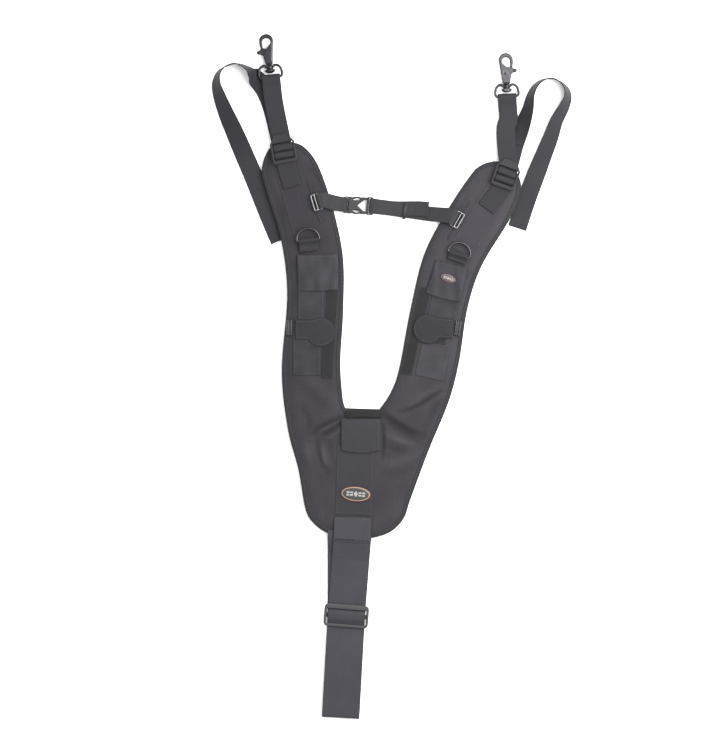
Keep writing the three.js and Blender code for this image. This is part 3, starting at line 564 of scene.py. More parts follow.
def plan_path(plan, profile, step=1.2):
    """A side view (distance, height) laid along a plan curve: points and the direction across."""
    plan = spline(np.asarray(plan, float)[:, :2], 0.5)
    run = distances(plan)
    side = resample(np.asarray(profile, float), step)
    s, z = side[:, 0], side[:, 1]
    inside = np.clip(s, 0, run[-1])
    txy = unit(sample(inside, run, tangents(plan)))
    xy = sample(inside, run, plan) + txy * (s - inside)[:, None]
    points = np.column_stack([xy, z])
    across = np.column_stack([-txy[:, 1], txy[:, 0], np.zeros(len(s))])
    return points, across, run[-1]


def soften(profile, rounds=2):
    """Rounds the corners of a profile a little (corner cutting)."""
    p = np.asarray(profile, float)
    for _ in range(rounds):
        q = 0.75 * p[:-1] + 0.25 * p[1:]
        r = 0.25 * p[:-1] + 0.75 * p[1:]
        p = np.vstack([p[:1], np.stack([q, r], 1).reshape(-1, p.shape[1]), p[-1:]])
    return p


def arc(s, z, radius, start, end, steps):
    a = np.radians(np.linspace(start, end, steps + 1))
    return [(s + radius * math.cos(x), z + radius * math.sin(x)) for x in a]


CHUNK = 4000  # points handled at once, to save memory


def to_segments(points, a, b):
    """For each point and each segment from a to b: how far along it the nearest place is, and how far off."""
    p, ab = points[:, None], (b - a)[None]
    t = np.clip(((p - a) * ab).sum(2) / np.maximum((ab**2).sum(2), 1e-12), 0, 1)
    return t, np.linalg.norm(p - a - t[..., None] * ab, axis=2)


def edge_distance(points, loops):
    """Distance of each point to the nearest edge of the closed loops."""
    best = np.full(len(points), 1e9)
    for loop in loops:
        for first in range(0, len(points), CHUNK):
            part = slice(first, first + CHUNK)
            d = to_segments(points[part], loop, np.roll(loop, -1, 0))[1].min(1)
            best[part] = np.minimum(best[part], d)
    return best


def inside_loop(points, loop):
    x, y = points[:, 0:1], points[:, 1:2]
    x1, y1 = loop[:, 0], loop[:, 1]
    x2, y2 = np.roll(x1, -1), np.roll(y1, -1)
    crosses = (y1 > y) != (y2 > y)
    with np.errstate(divide="ignore", invalid="ignore"):
        at = x1 + (y - y1) / (y2 - y1) * (x2 - x1)
    return (np.logical_and(crosses, x < at).sum(1) % 2).astype(bool)


def inside_all(points, outer, holes):
    """Which points are inside the outer loop and outside every hole."""
    inside = inside_loop(points, outer)
    for hole in holes:
        inside &= ~inside_loop(points, hole)
    return inside


def triangle_grid(low, high, spacing):
    """Points at the corners of equal triangles, over a box."""
    rows = []
    for j, y in enumerate(np.arange(low[1], high[1], spacing * 0.866)):
        xs = np.arange(low[0] + (spacing / 2 if j % 2 else 0), high[0], spacing)
        rows.append(np.stack([xs, np.full(len(xs), y)], 1))
    return np.vstack(rows)


def signed_area(loop):
    x, y = loop[:, 0], loop[:, 1]
    return 0.5 * (x * np.roll(y, -1) - np.roll(x, -1) * y).sum()


def turned_left(loop, left=True):
    """The loop in the order that has its inside on the left, or on the right."""
    return loop if (signed_area(loop) > 0) == left else loop[::-1]


def offset_loop(loop, inset):
    """The loop moved to its left by inset, mitred."""
    into = unit(loop - np.roll(loop, 1, 0))
    out = unit(np.roll(loop, -1, 0) - loop)
    along = unit(into + out)
    reach = inset / np.maximum(0.6, (along * out).sum(1))
    return loop + np.stack([-along[:, 1], along[:, 0]], 1) * reach[:, None]


def filled(outer, holes=(), rings=(), grid=4.0):
    """Triangles that fill a loop with holes, with points on inset rings and a grid inside.
    Returns xy, triangles, distance to the edge, and the boundary loops as index lists."""
    outer = turned_left(outer)
    holes = [turned_left(h, False) for h in holes]
    loops = [outer, *holes]
    extra = []
    for inset in rings:
        for loop in loops:
            ring = offset_loop(loop, inset)
            ring = ring[inside_all(ring, outer, holes)]
            if len(ring):
                extra.append(ring[edge_distance(ring, loops) > 0.93 * inset])
    cloud = triangle_grid(outer.min(0), outer.max(0), grid)
    cloud = cloud[inside_all(cloud, outer, holes)]
    last = (rings[-1] if rings else 0) + 0.55 * grid
    cloud = cloud[edge_distance(cloud, loops) > last]
    points = np.vstack([*loops, *extra, cloud])
    edges, start, spans = [], 0, []
    for loop in loops:
        span = list(range(start, start + len(loop)))
        edges += [(span[i], span[(i + 1) % len(span)]) for i in range(len(span))]
        spans.append(span)
        start += len(loop)
    made = delaunay_2d_cdt([Vector(p) for p in points], edges, [], 0, 1e-5)
    xy = np.array([tuple(v) for v in made[0]])
    triangles = np.array(made[2])
    triangles = triangles[inside_all(xy[triangles].mean(1), outer, holes)]
    source = {}
    for new, olds in enumerate(made[3]):
        for old in olds:
            source[old] = new
    spans = [[source[i] for i in span] for span in spans]
    distance = edge_distance(xy, loops)
    for span in spans:
        distance[span] = 0
    return xy, triangles, distance, spans


def shell(outer, top, bottom, holes=(), rings=(), grid=4.0, place=None, two_slots=False):
    """A closed body over a filled outline. top and bottom give heights from (xy, distance to edge).
    Returns what Build.add() takes."""
    holes = [np.asarray(h, float) for h in holes]
    xy, triangles, d, spans = filled(np.asarray(outer, float), holes, rings, grid)
    high, low = top(xy, d), bottom(xy, d)
    n = len(xy)
    verts = np.vstack([np.column_stack([xy, high]), np.column_stack([xy, low])])
    faces = [tuple(t) for t in triangles] + [tuple(t[::-1] + n) for t in triangles]
    slots = [0] * len(triangles) + [1 if two_slots else 0] * len(triangles)
    for span in spans:
        for i, a in enumerate(span):
            b = span[(i + 1) % len(span)]
            faces.append((a, a + n, b + n, b))
            slots.append(0)
    uv = verts[:, :2].copy()
    if place is not None:
        verts = place_points(place, verts)
    return verts, faces, slots, uv


def quarter(q):
    """The height of a quarter circle, from 0 at q = 0 to 1 at q = 1."""
    return np.sqrt(np.clip(1 - (1 - np.clip(q, 0, 1)) ** 2, 0, 1))


def plate(outer, low, high, radius, holes=(), place=None, grid=2.5, height=None):
    """A moulded plate with rounded edges. height(xy) adds to its top. Returns what Build.add() takes."""

    def top(xy, d):
        flat = high - radius + radius * quarter(d / radius)
        return flat + height(xy) * np.clip(d / radius, 0, 1) if height else flat

    def bottom(xy, d):
        return low + radius - radius * quarter(d / radius)

    return shell(outer, top, bottom, holes, [radius * q for q in (0.08, 0.29, 0.6, 1.0)], grid, place)


def rounded_rect(width, length, radius, cx=0.0, cy=0.0, step=1.2):
    corners = []
    for sx, sy, start in ((1, -1, -90), (1, 1, 0), (-1, 1, 90), (-1, -1, 180)):
        for a in np.radians(np.linspace(start, start + 90, 6)):
            corners.append((cx + sx * (width / 2 - radius) + radius * math.cos(a),
                            cy + sy * (length / 2 - radius) + radius * math.sin(a)))
    return outline_of(corners, step)


def outline_of(points, step=1.0):
    """A straight-sided outline with its edges divided."""
    p = np.asarray(points, float)
    return resample(np.vstack([p, p[:1]]), step, closed=True)


# ------------------------------------------------------------------ height of the padded yoke
def yoke_loop(step):
    return turned_left(outline_of(spline(YOKE_EDGE, 1.0, alpha=0.0), step))


YOKE_LOOP = yoke_loop(3.0)

# Creases in the face cloth: the line each follows, its half width and its depth, mm. A negative depth
# is a ridge.
CREASES = [
    ([(-62, -51), (-80, -58), (-97, -66), (-107, -76)], 2.6, 1.7),
    ([(-68, -56), (-84, -64), (-98, -72)], 2.6, -0.9),
    ([(-69, -60), (-82, -70), (-96, -77)], 2.4, 1.5),
    ([(-70, -70), (-82, -78), (-90, -84)], 4.0, -0.9),
    ([(-99, -82), (-98, -96), (-93, -112), (-84, -126)], 3.0, 1.0),
    ([(-91, -92), (-91, -104), (-86, -116)], 3.2, -1.0),
    ([(-108, -80), (-112, -98), (-106, -120)], 5.0, -0.6),
    ([(-84, -84), (-82, -100), (-76, -116)], 4.0, 0.7),
    ([(-18, -46), (-6, -54), (8, -63), (26, -72), (42, -77)], 4.4, 1.7),
    ([(-6, -60), (10, -70), (28, -80), (38, -84)], 5.0, 1.3),
    ([(-12, -74), (0, -80), (14, -85), (26, -88)], 3.6, -1.1),
    ([(-10, -90), (6, -95), (20, -96)], 4.0, 0.8),
    ([(-14, -60), (-13, -84), (-15, -110)], 2.2, 1.3),
    ([(-10, -112), (12, -108), (38, -98)], 6.0, -0.8),
    ([(-12, -126), (10, -124), (30, -116)], 5.0, 0.6),
    ([(62, -18), (48, -27), (33, -36.5), (18, -43), (2, -47)], 2.0, 1.6),
    ([(60, -12), (44, -20), (26, -29)], 4.0, -0.8),
    ([(64, -30), (52, -42), (48, -58)], 4.5, 0.8),
    ([(-128, -6), (-108, -22), (-90, -38), (-70, -48)], 7.0, 0.5),
    ([(-118, 8), (-100, -8), (-82, -28)], 7.0, -0.4),
    ([(-118, -40), (-110, -58), (-112, -74)], 5.0, 0.7),
    ([(60, -40), (44, -60), (40, -84)], 6.0, 0.6),
    ([(-92, 250), (-100, 262), (-112, 276)], 3.5, 0.6),
    ([(-152, 236), (-146, 222), (-141, 204)], 3.5, 0.6),
    ([(96, 236), (88, 222), (76, 206)], 3.5, 0.6),
    ([(-118, 168), (-121, 150), (-128, 140)], 3.0, 0.6),
    ([(96, 138), (86, 118), (88, 100)], 3.0, 0.5),
]
CREASE_DEPTH = 1.6
CREASE_LINES = [(spline(line, 2.0), width, depth) for line, width, depth in CREASES]


def line_distance(points, line):
    """How far each point is from a line, and how far along it the nearest place is, from 0 to 1."""
    t, d = to_segments(points, line[:-1], line[1:])
    best = d.argmin(1)
    rows = np.arange(len(points))
    return d[rows, best], (best + t[rows, best]) / (len(line) - 1)


def ripples(xy, size, seed):
    return np.array([noise.noise(Vector((x / size, y / size, seed))) for x, y in xy])


def smooth(q):
    q = np.clip(q, 0, 1)
    return q * q * (3 - 2 * q)


def face_height(xy, d):
    """Top of the padded yoke: a bound edge, a sewn channel inside it, then the crowned foam."""
    channel = 7.0 + 0.7 * smooth(d / 4.2)
    crown = np.sin(0.5 * np.pi * np.clip((d - 4.2) / 12.0, 0, 1)) ** 1.1
    foam = PAD_EDGE + (PAD_TOP - 0.35 - PAD_EDGE) * crown
    z = np.where(d < 4.2, channel, foam) + 0.35 * smooth((d - 12) / 22)
    deep = smooth((d - 5) / 6)
    return z + deep * (fold_depth(xy) + 0.35 * ripples(xy, 26.0, 1.0) + 0.14 * ripples(xy, 9.0, 4.0))


def fold_depth(xy):
    """Height that the creases and ridges add to the face cloth, mm."""
    z = np.zeros(len(xy))
    for line, width, depth in CREASE_LINES:
        near = np.linalg.norm(xy - line.mean(0), axis=1) < np.ptp(line, axis=0).max() + 4 * width
        if near.any():
            off, along = line_distance(xy[near], line)
            fade = np.sin(np.pi * np.clip(0.12 + 0.86 * along, 0, 1)) ** 0.6
            z[near] -= CREASE_DEPTH * depth * fade * np.exp(-((off / width) ** 2))
    return z


def paint_light_shade_tone(piece, values):
    """Stores painted light and shade, with some random tone, in the point attribute 'fold' for the cloth
    material: from -1, the darkest painted shade, as deep in a fold, to 1, the lightest painted light, as on a
    ridge.
    """
    layer = piece.data.attributes.new("fold", "FLOAT", "POINT")
    layer.data.foreach_set("value", np.clip(values, -1, 1))


def painted_pad_light(xy):
    """Painted light and shade on each shoulder pad's cloth: the right pad, on the key light's side, is
    painted lighter, the left pad darker.
    """
    limb = smooth((xy[:, 1] + 40) / 80)
    return limb * np.where(xy[:, 0] > 0, 0.36, -0.3)


def back_height(xy, d):
    """The underside: flat where it lies on the table, lifted at the bound edge."""
    return 3.9 - 3.9 * np.sin(0.5 * np.pi * np.clip(d / 12.0, 0, 1)) ** 0.8


def pad_height(points):
    xy = np.asarray(points, float)[:, :2]
    return face_height(xy, edge_distance(xy, [YOKE_LOOP]))


# ------------------------------------------------------------------ stitches
THREAD_RADIUS = 0.2
STITCH_SHARE = 0.72  # how much of the pitch a stitch takes up
TACK_PITCH = 0.42


def stitch(build, path, pitch=3.3, slot=1):
    """Thread lying along a path, in stitches that dip into the cloth at both ends."""
    path = np.asarray(path, float)
    run = distances(path)
    count = max(1, int(run[-1] / pitch))
    q = np.array([0.0, 0.2, 0.5, 0.8, 1.0])
    for i in range(count):
        p = sample((i + (1 - STITCH_SHARE) / 2 + q * STITCH_SHARE) * run[-1] / count, run, path)
        p[:, 2] += THREAD_RADIUS * np.array([-0.8, 0.35, 0.6, 0.35, -0.8])
        build.add(*tube(p, THREAD_RADIUS * np.array([0.5, 0.95, 1.0, 0.95, 0.5]), 5), slot)


def bar_tack(build, a, b, height, width=1.6, slot=1):
    """A dense zigzag of thread between two points, on cloth that is at the given height."""
    a, b = np.asarray(a, float), np.asarray(b, float)
    length = np.linalg.norm(b - a)
    along = (b - a) / length
    side = np.array([-along[1], along[0]])
    count = int(length / TACK_PITCH)
    points = np.array([a + along * length * i / count + side * width / 2 * (1 if i % 2 else -1)
                       for i in range(count + 1)])
    path = np.column_stack([points, np.full(len(points), height + 0.16)])
    build.add(*tube(path, THREAD_RADIUS, 5), slot)


# ------------------------------------------------------------------ sewn cloth pieces
PANEL_GRID = 2.6
SEAM_STEP = 0.8


def edge_lines(length, edge):
    """Coordinates across a side: close together at both ends, even between."""
    near = edge * np.array([0, 0.1, 0.32, 0.62, 1.0])
    count = max(2, int((length - 2 * edge) / PANEL_GRID))
    return np.r_[near, np.linspace(edge, length - edge, count + 1)[1:-1], length - near[::-1]]


class Panel:
    """A four-sided sewn piece, laid over the pad. Local x runs across, local y along."""

    def __init__(self, place, width, length, thick=1.1, lift=0.12, hinge=False, bow=0.0, puff=0.0,
                 edge=0.8, hem=0.0, flat=None, sag=0.0, seed=0.0, taper=0.0):
        self.place, self.width, self.length, self.thick, self.lift = place, width, length, thick, lift
        self.top_y = 0.0 if hinge else length / 2
        self.bow, self.puff, self.edge, self.hem = bow, puff, edge, hem
        self.flat, self.sag, self.seed, self.taper = flat, sag, seed, taper

    def local(self, u, v):
        """Local xy of a point u across and v down from the upper edge, both in mm."""
        q = v / self.length
        across = 2 * u / self.width - 1
        squeeze = 1 + self.taper * (q - 0.5)
        down = v + self.bow * q**2 * (1 - across**2)
        return np.stack([(u - self.width / 2) * squeeze, self.top_y - down], -1)

    def under(self, xy):
        """The height of what the piece lies on."""
        return pad_height(xy) if self.flat is None else np.full(len(xy), self.flat)

    def height(self, u, v):
        """Top of the piece at (u, v)."""
        xy = place_points(self.place, self.local(u, v).reshape(-1, 2))
        base = self.under(xy).reshape(u.shape)
        d = np.minimum(np.minimum(u, self.width - u), np.minimum(v, self.length - v))
        q = np.clip(d / self.edge, 0, 1)
        body = self.thick * (0.35 + 0.65 * quarter(q))
        if self.hem:
            past = d - self.hem
            body += 0.28 * (1 - smooth(past / 1.6)) * q - 0.22 * np.exp(-((past / 0.9) ** 2))
        if self.puff:
            a, b = 2 * u / self.width - 1, 2 * v / self.length - 1
            body += self.puff * (1 - a**4) * (1 - b**4) * q
            body += 0.3 * q * ripples(xy[:, :2], 11.0, 7 + self.seed).reshape(u.shape)
        droop = self.sag * (v / self.length) ** 2
        return base + self.lift + body - droop

    def add_to(self, build):
        us, vs = edge_lines(self.width, self.edge), edge_lines(self.length, self.edge)
        u, v = np.meshgrid(us, vs)
        xy = place_points(self.place, self.local(u, v).reshape(-1, 2))[:, :2]
        top = self.height(u, v).ravel()
        low = self.under(xy) + self.lift - self.sag * (v.ravel() / self.length) ** 2
        if self.flat is None:
            low -= 0.3
        n, rows, columns = len(xy), len(vs), len(us)
        verts = np.vstack([np.column_stack([xy, top]), np.column_stack([xy, low])])
        quads = [(r * columns + c, r * columns + c + 1, (r + 1) * columns + c + 1, (r + 1) * columns + c)
                 for r in range(rows - 1) for c in range(columns - 1)]
        faces = quads + [tuple(i + n for i in q[::-1]) for q in quads]
        rim = list(range(columns)) + [r * columns + columns - 1 for r in range(1, rows)]
        rim += [(rows - 1) * columns + c for c in range(columns - 2, -1, -1)]
        rim += [r * columns for r in range(rows - 2, 0, -1)]
        faces += [(a, a + n, b + n, b) for a, b in zip(rim, rim[1:] + rim[:1])]
        uv = np.stack([u.ravel(), -v.ravel()], 1)
        build.add(verts, faces, 0, np.vstack([uv, uv]))
        return self

    def line(self, points):
        """A path on the top surface through (u, v) points."""
        uv = resample(points, SEAM_STEP)
        xy = place_points(self.place, self.local(uv[:, 0], uv[:, 1]))
        xy[:, 2] = self.height(uv[:, 0], uv[:, 1])
        return xy

    def stitches(self, build, inset, sides="lrtb"):
        """Seams along its left, right, top or bottom sides."""
        w, l = self.width, self.length
        lines = {"l": [(inset, inset), (inset, l - inset)], "r": [(w - inset, inset), (w - inset, l - inset)],
                 "t": [(inset, inset), (w - inset, inset)], "b": [(inset, l - inset), (w - inset, l - inset)]}
        for side in sides:
            stitch(build, self.line(lines[side]))
        return self


# ------------------------------------------------------------------ yoke
def make_yoke():
    rings = (0.7, 1.8, 3.2, 4.2, 5.4, 7.2, 9.6, 12.6)
    build = Build().add(*shell(YOKE_LOOP, face_height, back_height, (), rings, 2.6, None, True))
    yoke = build.finish("yoke_pad", ["face", "lining"], "yoke",
                        ("yoke_front_panel", "yoke_foam_core", "yoke_mesh_lining"), "face")
    xy = build.plan()
    # Painted shade in the creases and painted light on the ridges, the pads' painted light and shade, and a
    # random tone.
    paint_light_shade_tone(yoke, fold_depth(xy) / 2.6 + painted_pad_light(xy) + 0.4 * ripples(xy, 26.0, 1.5))


TAPE_STEP = 1.6
TAPE_SEAM = 3.5  # from the tape's edge
PUCKER_PITCH = 3.3


def make_edge_tape():
    loop = yoke_loop(TAPE_STEP)
    inward = offset_loop(loop, 1.0) - loop
    run = np.arange(len(loop)) * TAPE_STEP
    pucker = 0.1 * np.sin(run / PUCKER_PITCH * 2 * math.pi)
    section = [(4.9, 0.02), (4.8, 0.3), (3.6, 0.32), (2.0, 0.45), (0.6, 0.5), (-0.35, 0.15)]
    rings = np.array([section_ring(p, n, section, q) for p, n, q in zip(loop, inward, pucker)])
    x, y, off, inset, face = np.moveaxis(rings, 2, 0)
    flat, d = rings[:, :, :2].reshape(-1, 2), np.abs(inset)
    top = face_height(flat, d.ravel()).reshape(d.shape)
    low = back_height(flat, d.ravel()).reshape(d.shape)
    z = np.where(face > 0, top + off, low - off)
    z = np.where(face == 0, 0.5 * (top + low), z)
    build = Build()
    uv = np.dstack([inset, np.broadcast_to(run[:, None], d.shape)])
    build.add(*loft(np.dstack([x, y, z]), closed=True), 0, uv.reshape(-1, 2))
    seam = offset_loop(yoke_loop(1.2), TAPE_SEAM)
    inside = np.full(len(seam), TAPE_SEAM)
    for height, pitch in ((face_height(seam, inside) + 0.32, 3.3), (back_height(seam, inside) - 0.75, 4.0)):
        path = np.column_stack([seam, height])
        stitch(build, np.vstack([path, path[:1]]), pitch)
    build.finish("yoke_edge_tape", ["binding", "thread"], "yoke", "yoke_edge_binding", "binding")


def section_ring(p, n, section, pucker):
    """A cross-section of the edge tape: x, y, thickness, inset, and 1 above, -1 below, 0 at the fold."""
    row = []
    for inset, off in section:
        row.append((*(p + n * inset), off + pucker * (inset > 1), inset, 1))
    row.append((*(p - n * 0.75), 0.0, 0.0, 0))
    for inset, off in section[::-1]:
        row.append((*(p + n * inset), off, inset, -1))
    return row


def make_centre_webbing():
    build = Build()
    panel = Panel((-50, -134, -2), 48, 92, 0.6, lift=0.05, edge=0.8)
    panel.add_to(build).stitches(build, 1.6, "lr")
    stitch(build, panel.line([(2, 88), (46, 88)]))
    build.finish("centre_webbing_strip", ["centre_webbing", "thread"], "yoke", "centre_webbing", "webbing")


def make_rear_tab():
    build = Build()
    tab = Panel((-52.9, -198.8, -2), 48, 33, 1.5, lift=0.5, edge=0.7, flat=10.55, sag=1.5)
    tab.add_to(build).stitches(build, 2.2, "lr")
    stitch(build, tab.line([(2, 2), (46, 2)]))
    for v, reach in ((30.4, 46), (28.9, 27)):
        ends = tab.line([(2, v), (reach, v)])
        bar_tack(build, ends[0, :2], ends[-1, :2], ends[0, 2], slot=2)
    build.finish("rear_tab_fold", ["rear_webbing", "thread", "dark_thread"], "yoke", "rear_tab", "webbing")


def make_neck_loop():
    build = Build()
    loop = (-37.5, -48, 0)
    profile = soften([(0, 11.4), (5, 11.5), (13, 13), (24, 13.9), (35, 13), (43, 11.5), (48, 11.4)])
    points, across, _ = plan_path(place_points(loop, [(-24, 0), (0, 0.8), (24, 0)]), profile)
    build.add(*ribbon(points, across, 9, 1.2, 0.1, 5))
    for x in (-21, 21):
        a, b = place_points(loop, [(x, -3.6), (x, 3.6)])[:, :2]
        bar_tack(build, a, b, 12.1)
    build.finish("neck_loop_band", ["pile", "dark_thread"], "yoke", "neck_haul_loop", "webbing")


def make_neck_flap():
    place = (-42, -54.6, 0)
    build = Build()
    flap = Panel(place, 51, 41, 1.3, lift=0, hinge=True, bow=3.4, puff=1.1, flat=12.5, hem=2.8,
                 sag=0.5, seed=1.0)
    flap.add_to(build).stitches(build, 2.6)
    root = bending("yoke", "neck_flap", place, (0, 1), (0, -4))
    piece = build.finish("neck_flap_cloth", ["flap", "thread"], root, "neck_flap", "face")


def disc(place, rx, ry, low, high, crown=0.0):
    """An oval slab with a rounded rim and a crowned top."""
    columns, rings, rim = 48, 6, 0.35
    rows = [(1.0, low), (1.0, high - rim), (1 - 0.3 * rim / ry, high - 0.3 * rim), (1 - rim / ry, high)]
    rows += [(q, high + crown * (1 - q * q)) for q in np.linspace(1 - rim / ry, 0.0, rings)[1:-1]]
    verts = [(rx * q * math.cos(x), ry * q * math.sin(x), z) for q, z in rows for x in circle(columns)]
    faces = []
    for r in range(len(rows) - 1):
        for c in range(columns):
            n = (c + 1) % columns
            faces.append((r * columns + c, r * columns + n, (r + 1) * columns + n, (r + 1) * columns + c))
    verts += [(0, 0, high + crown), (0, 0, low)]
    last, top, bottom = (len(rows) - 1) * columns, len(verts) - 2, len(verts) - 1
    faces += [(last + c, last + (c + 1) % columns, top) for c in range(columns)]
    faces += [((c + 1) % columns, c, bottom) for c in range(columns)]
    return place_points(place, verts), faces


BADGE_RX, BADGE_RY = 19.5, 9.8  # half the large badge's width and height


def make_back_badge():
    looks = ["badge_rim", "badge_ring", "badge_field", "badge_mark"]
    make_badge("back_badge", (-48.4, -152, -5), BADGE_RX, BADGE_RY, 12.0, "yoke", "back_patch", looks)


def make_badge(name, place, rx, ry, low, body, stands_for, looks):
    """An oval badge: raised rim, pale ring, dark field and a plain mark of bars and a lozenge."""
    build = Build()
    build.add(*disc(place, rx, ry, low, low + 0.9), 0)
    build.add(*disc(place, rx * 0.955, ry * 0.92, low + 0.5, low + 1.15), 1)
    build.add(*disc(place, rx * 0.89, ry * 0.8, low + 0.6, low + 1.3, 0.1), 2)
    z = low + 1.25
    unit_x, unit_y = rx / BADGE_RX, ry / BADGE_RY
    marks = [rounded_rect(4.0 * unit_x, 2.3 * unit_y, 0.6 * unit_y, x * unit_x, y * unit_y, 0.5)
             for x in (-10.2, -5.4, 5.4, 10.2) for y in (-1.7, 1.7)]
    lozenge = [(-2.9 * unit_x, 0), (0, -4.2 * unit_y), (2.9 * unit_x, 0), (0, 4.2 * unit_y)]
    for mark in [*marks, outline_of(lozenge, 0.5)]:
        verts, faces, _, uv = plate(mark, z - 0.2, z + 0.3, 0.15, (), place, 2.0)
        build.add(verts, faces, 3, uv)
    return build.finish(name, looks, body, stands_for, "patch")


# ------------------------------------------------------------------ pieces on each pad
def tongue_outline(hand):
    """The round-ended tab in its own frame, root at x = 0."""
    reach, radius, half = 33, 19, 13
    arc_points = [(reach + radius * math.cos(a), -3 + radius * math.sin(a))
                  for a in np.radians(np.linspace(-138, 118, 40))]
    points = [(0, -half), (reach - 16, -half), *arc_points, (reach - 12, half), (0, half)]
    return outline_of(np.array(points, float) * [hand, 1], 1.2)


def make_pad_band(side):
    name = side["name"]
    x, y, turn, width, length = side["strip"]
    build = Build()
    strip = Panel((x, y, turn), width, length, 0.5, lift=0.05, edge=0.8)
    strip.add_to(build).stitches(build, 1.9, "lr")
    stitch(build, strip.line([(2, 2), (width - 2, 2)]))
    piece = build.finish(name + "_pad_band", ["band", "thread"], "yoke", name + "_pad_strip", "webbing")
    # The band is painted lighter on the right pad and darker on the left: painted light and shade.
    paint_light_shade_tone(piece, painted_pad_light(build.plan()))


def make_pad_panels(side):
    hand = side["hand"]
    # The lower panel is painted lighter on the right pad and darker on the left: painted light from the key
    # light's side. The pocket is a little darker on both pads.
    for key, tone_and_painted_light in (("pocket", -0.12), ("lower", 0.12 - 0.3 * hand)):
        x, y, turn, width, length = side[key]
        build = Build()
        panel = Panel((x, y, turn), width, length, 0.8, edge=0.7, hem=3.0, seed=3.0)
        panel.add_to(build).stitches(build, 2.2, "lrb")
        stands = f"{side['name']}_{key}_panel"
        piece = build.finish(stands.replace("panel", "cloth"), ["flap", "thread"], "yoke", stands, "face")
        paint_light_shade_tone(piece, 0.7 * ripples(build.plan(), 15.0, 4.0 + hand) + tone_and_painted_light)


def make_grip(side):
    name = side["name"]
    x, y, turn, width, length = side["grip"]
    build = Build()
    grip = Panel((x, y, turn), width, length, 1.1, edge=0.8)
    grip.add_to(build).stitches(build, 1.1)
    build.finish(name + "_grip_pile", ["pile", "dark_thread"], "yoke", name + "_grip_strip", "hook_pile")


def make_pad_flap(side):
    name, hand = side["name"], side["hand"]
    x, y, turn, width, length = side["flap"]
    build = Build()
    flap = Panel((x, y, turn), width, length, 1.3, lift=0, hinge=True, bow=1.8, puff=1.2, flat=12.1, hem=2.8,
                 sag=0.3, seed=5.0 + hand, taper=-0.04 if hand > 0 else 0.1)
    flap.add_to(build).stitches(build, 2.4)
    root = bending("yoke", name + "_flap", (x, y, turn), (0, 1), (0, -4))
    piece = build.finish(name + "_flap_cloth", ["flap", "thread"], root, name + "_pad_flap", "face")
    paint_light_shade_tone(piece, ripples(build.plan() * (1.5, 0.45), 13.0, 2.0 + hand) + 0.05)


TAB_SEAM = 2.6  # from the round tab's edge


def make_round_tab(side):
    name, hand, place = side["name"], side["hand"], side["tab"]

    def top(xy, d):
        swell = 0.9 * smooth(d / 12) + 0.18 * ripples(xy, 9.0, 2.0 + hand)
        return 12.2 + 1.1 * quarter(d / 0.8) + swell - 0.22 * np.exp(-(((d - TAB_SEAM) / 0.9) ** 2))

    outline = tongue_outline(hand)
    bottom = lambda xy, d: np.full(len(xy), 12.15)
    build = Build()
    build.add(*shell(outline, top, bottom, (), (0.1, 0.3, 0.8, 1.7, TAB_SEAM, 3.6), 3.0, place))
    seam = resample(offset_loop(turned_left(outline), TAB_SEAM), 0.8)
    rise = top(seam, np.full(len(seam), TAB_SEAM))
    stitch(build, place_points(place, np.column_stack([seam, rise])))
    root = bending("yoke", name + "_tab", place, (-hand, 0), (4 * hand, 0))
    piece = build.finish(name + "_tab_cloth", ["tab", "thread"], root, name + "_round_tab", "face")


def make_slot_band(side):
    name, place = side["name"], side["loop"]
    build = Build()
    profile = soften([(0, 11.3), (3, 11.4), (6, 12.9), (10, 13.2), (14, 12.9), (17, 11.4), (20, 11.3)])
    points, across, _ = plan_path(place_points(place, [(0, -10), (0, 10)]), profile)
    build.add(*ribbon(points, across, 8, 1.1, 0.1, 5))
    for y in (-8.4, 8.4):
        a, b = place_points(place, [(-3.2, y), (3.2, y)])[:, :2]
        bar_tack(build, a, b, 11.9, 1.2)
    ys = np.linspace(-9.5, 9.5, 39)
    rise = np.interp(ys + 10, [0, 3, 6, 10, 14, 17, 20], [12.05, 12.15, 13.45, 13.85, 13.45, 12.15, 12.05])
    # Three raised ribs along the band in a light colour: painted highlights on the webbing's edges.
    for x in (-3.3, -0.9, 2.6):
        add_bar(build, place_points(place, np.column_stack([np.full(len(ys), x), ys, rise])), 0.28, 6, 2)
    build.finish(name + "_slot_band", ["chest_webbing", "thread", "edge_highlight_ribs"], "yoke", name + "_slot_loop",
                 "webbing")


def add_bar(build, path, radius, sides, slot=0):
    """A round bar with the same texture coordinates all over."""
    verts, faces = tube(path, radius, sides)
    build.add(verts, faces, slot, np.zeros((len(verts), 2)))


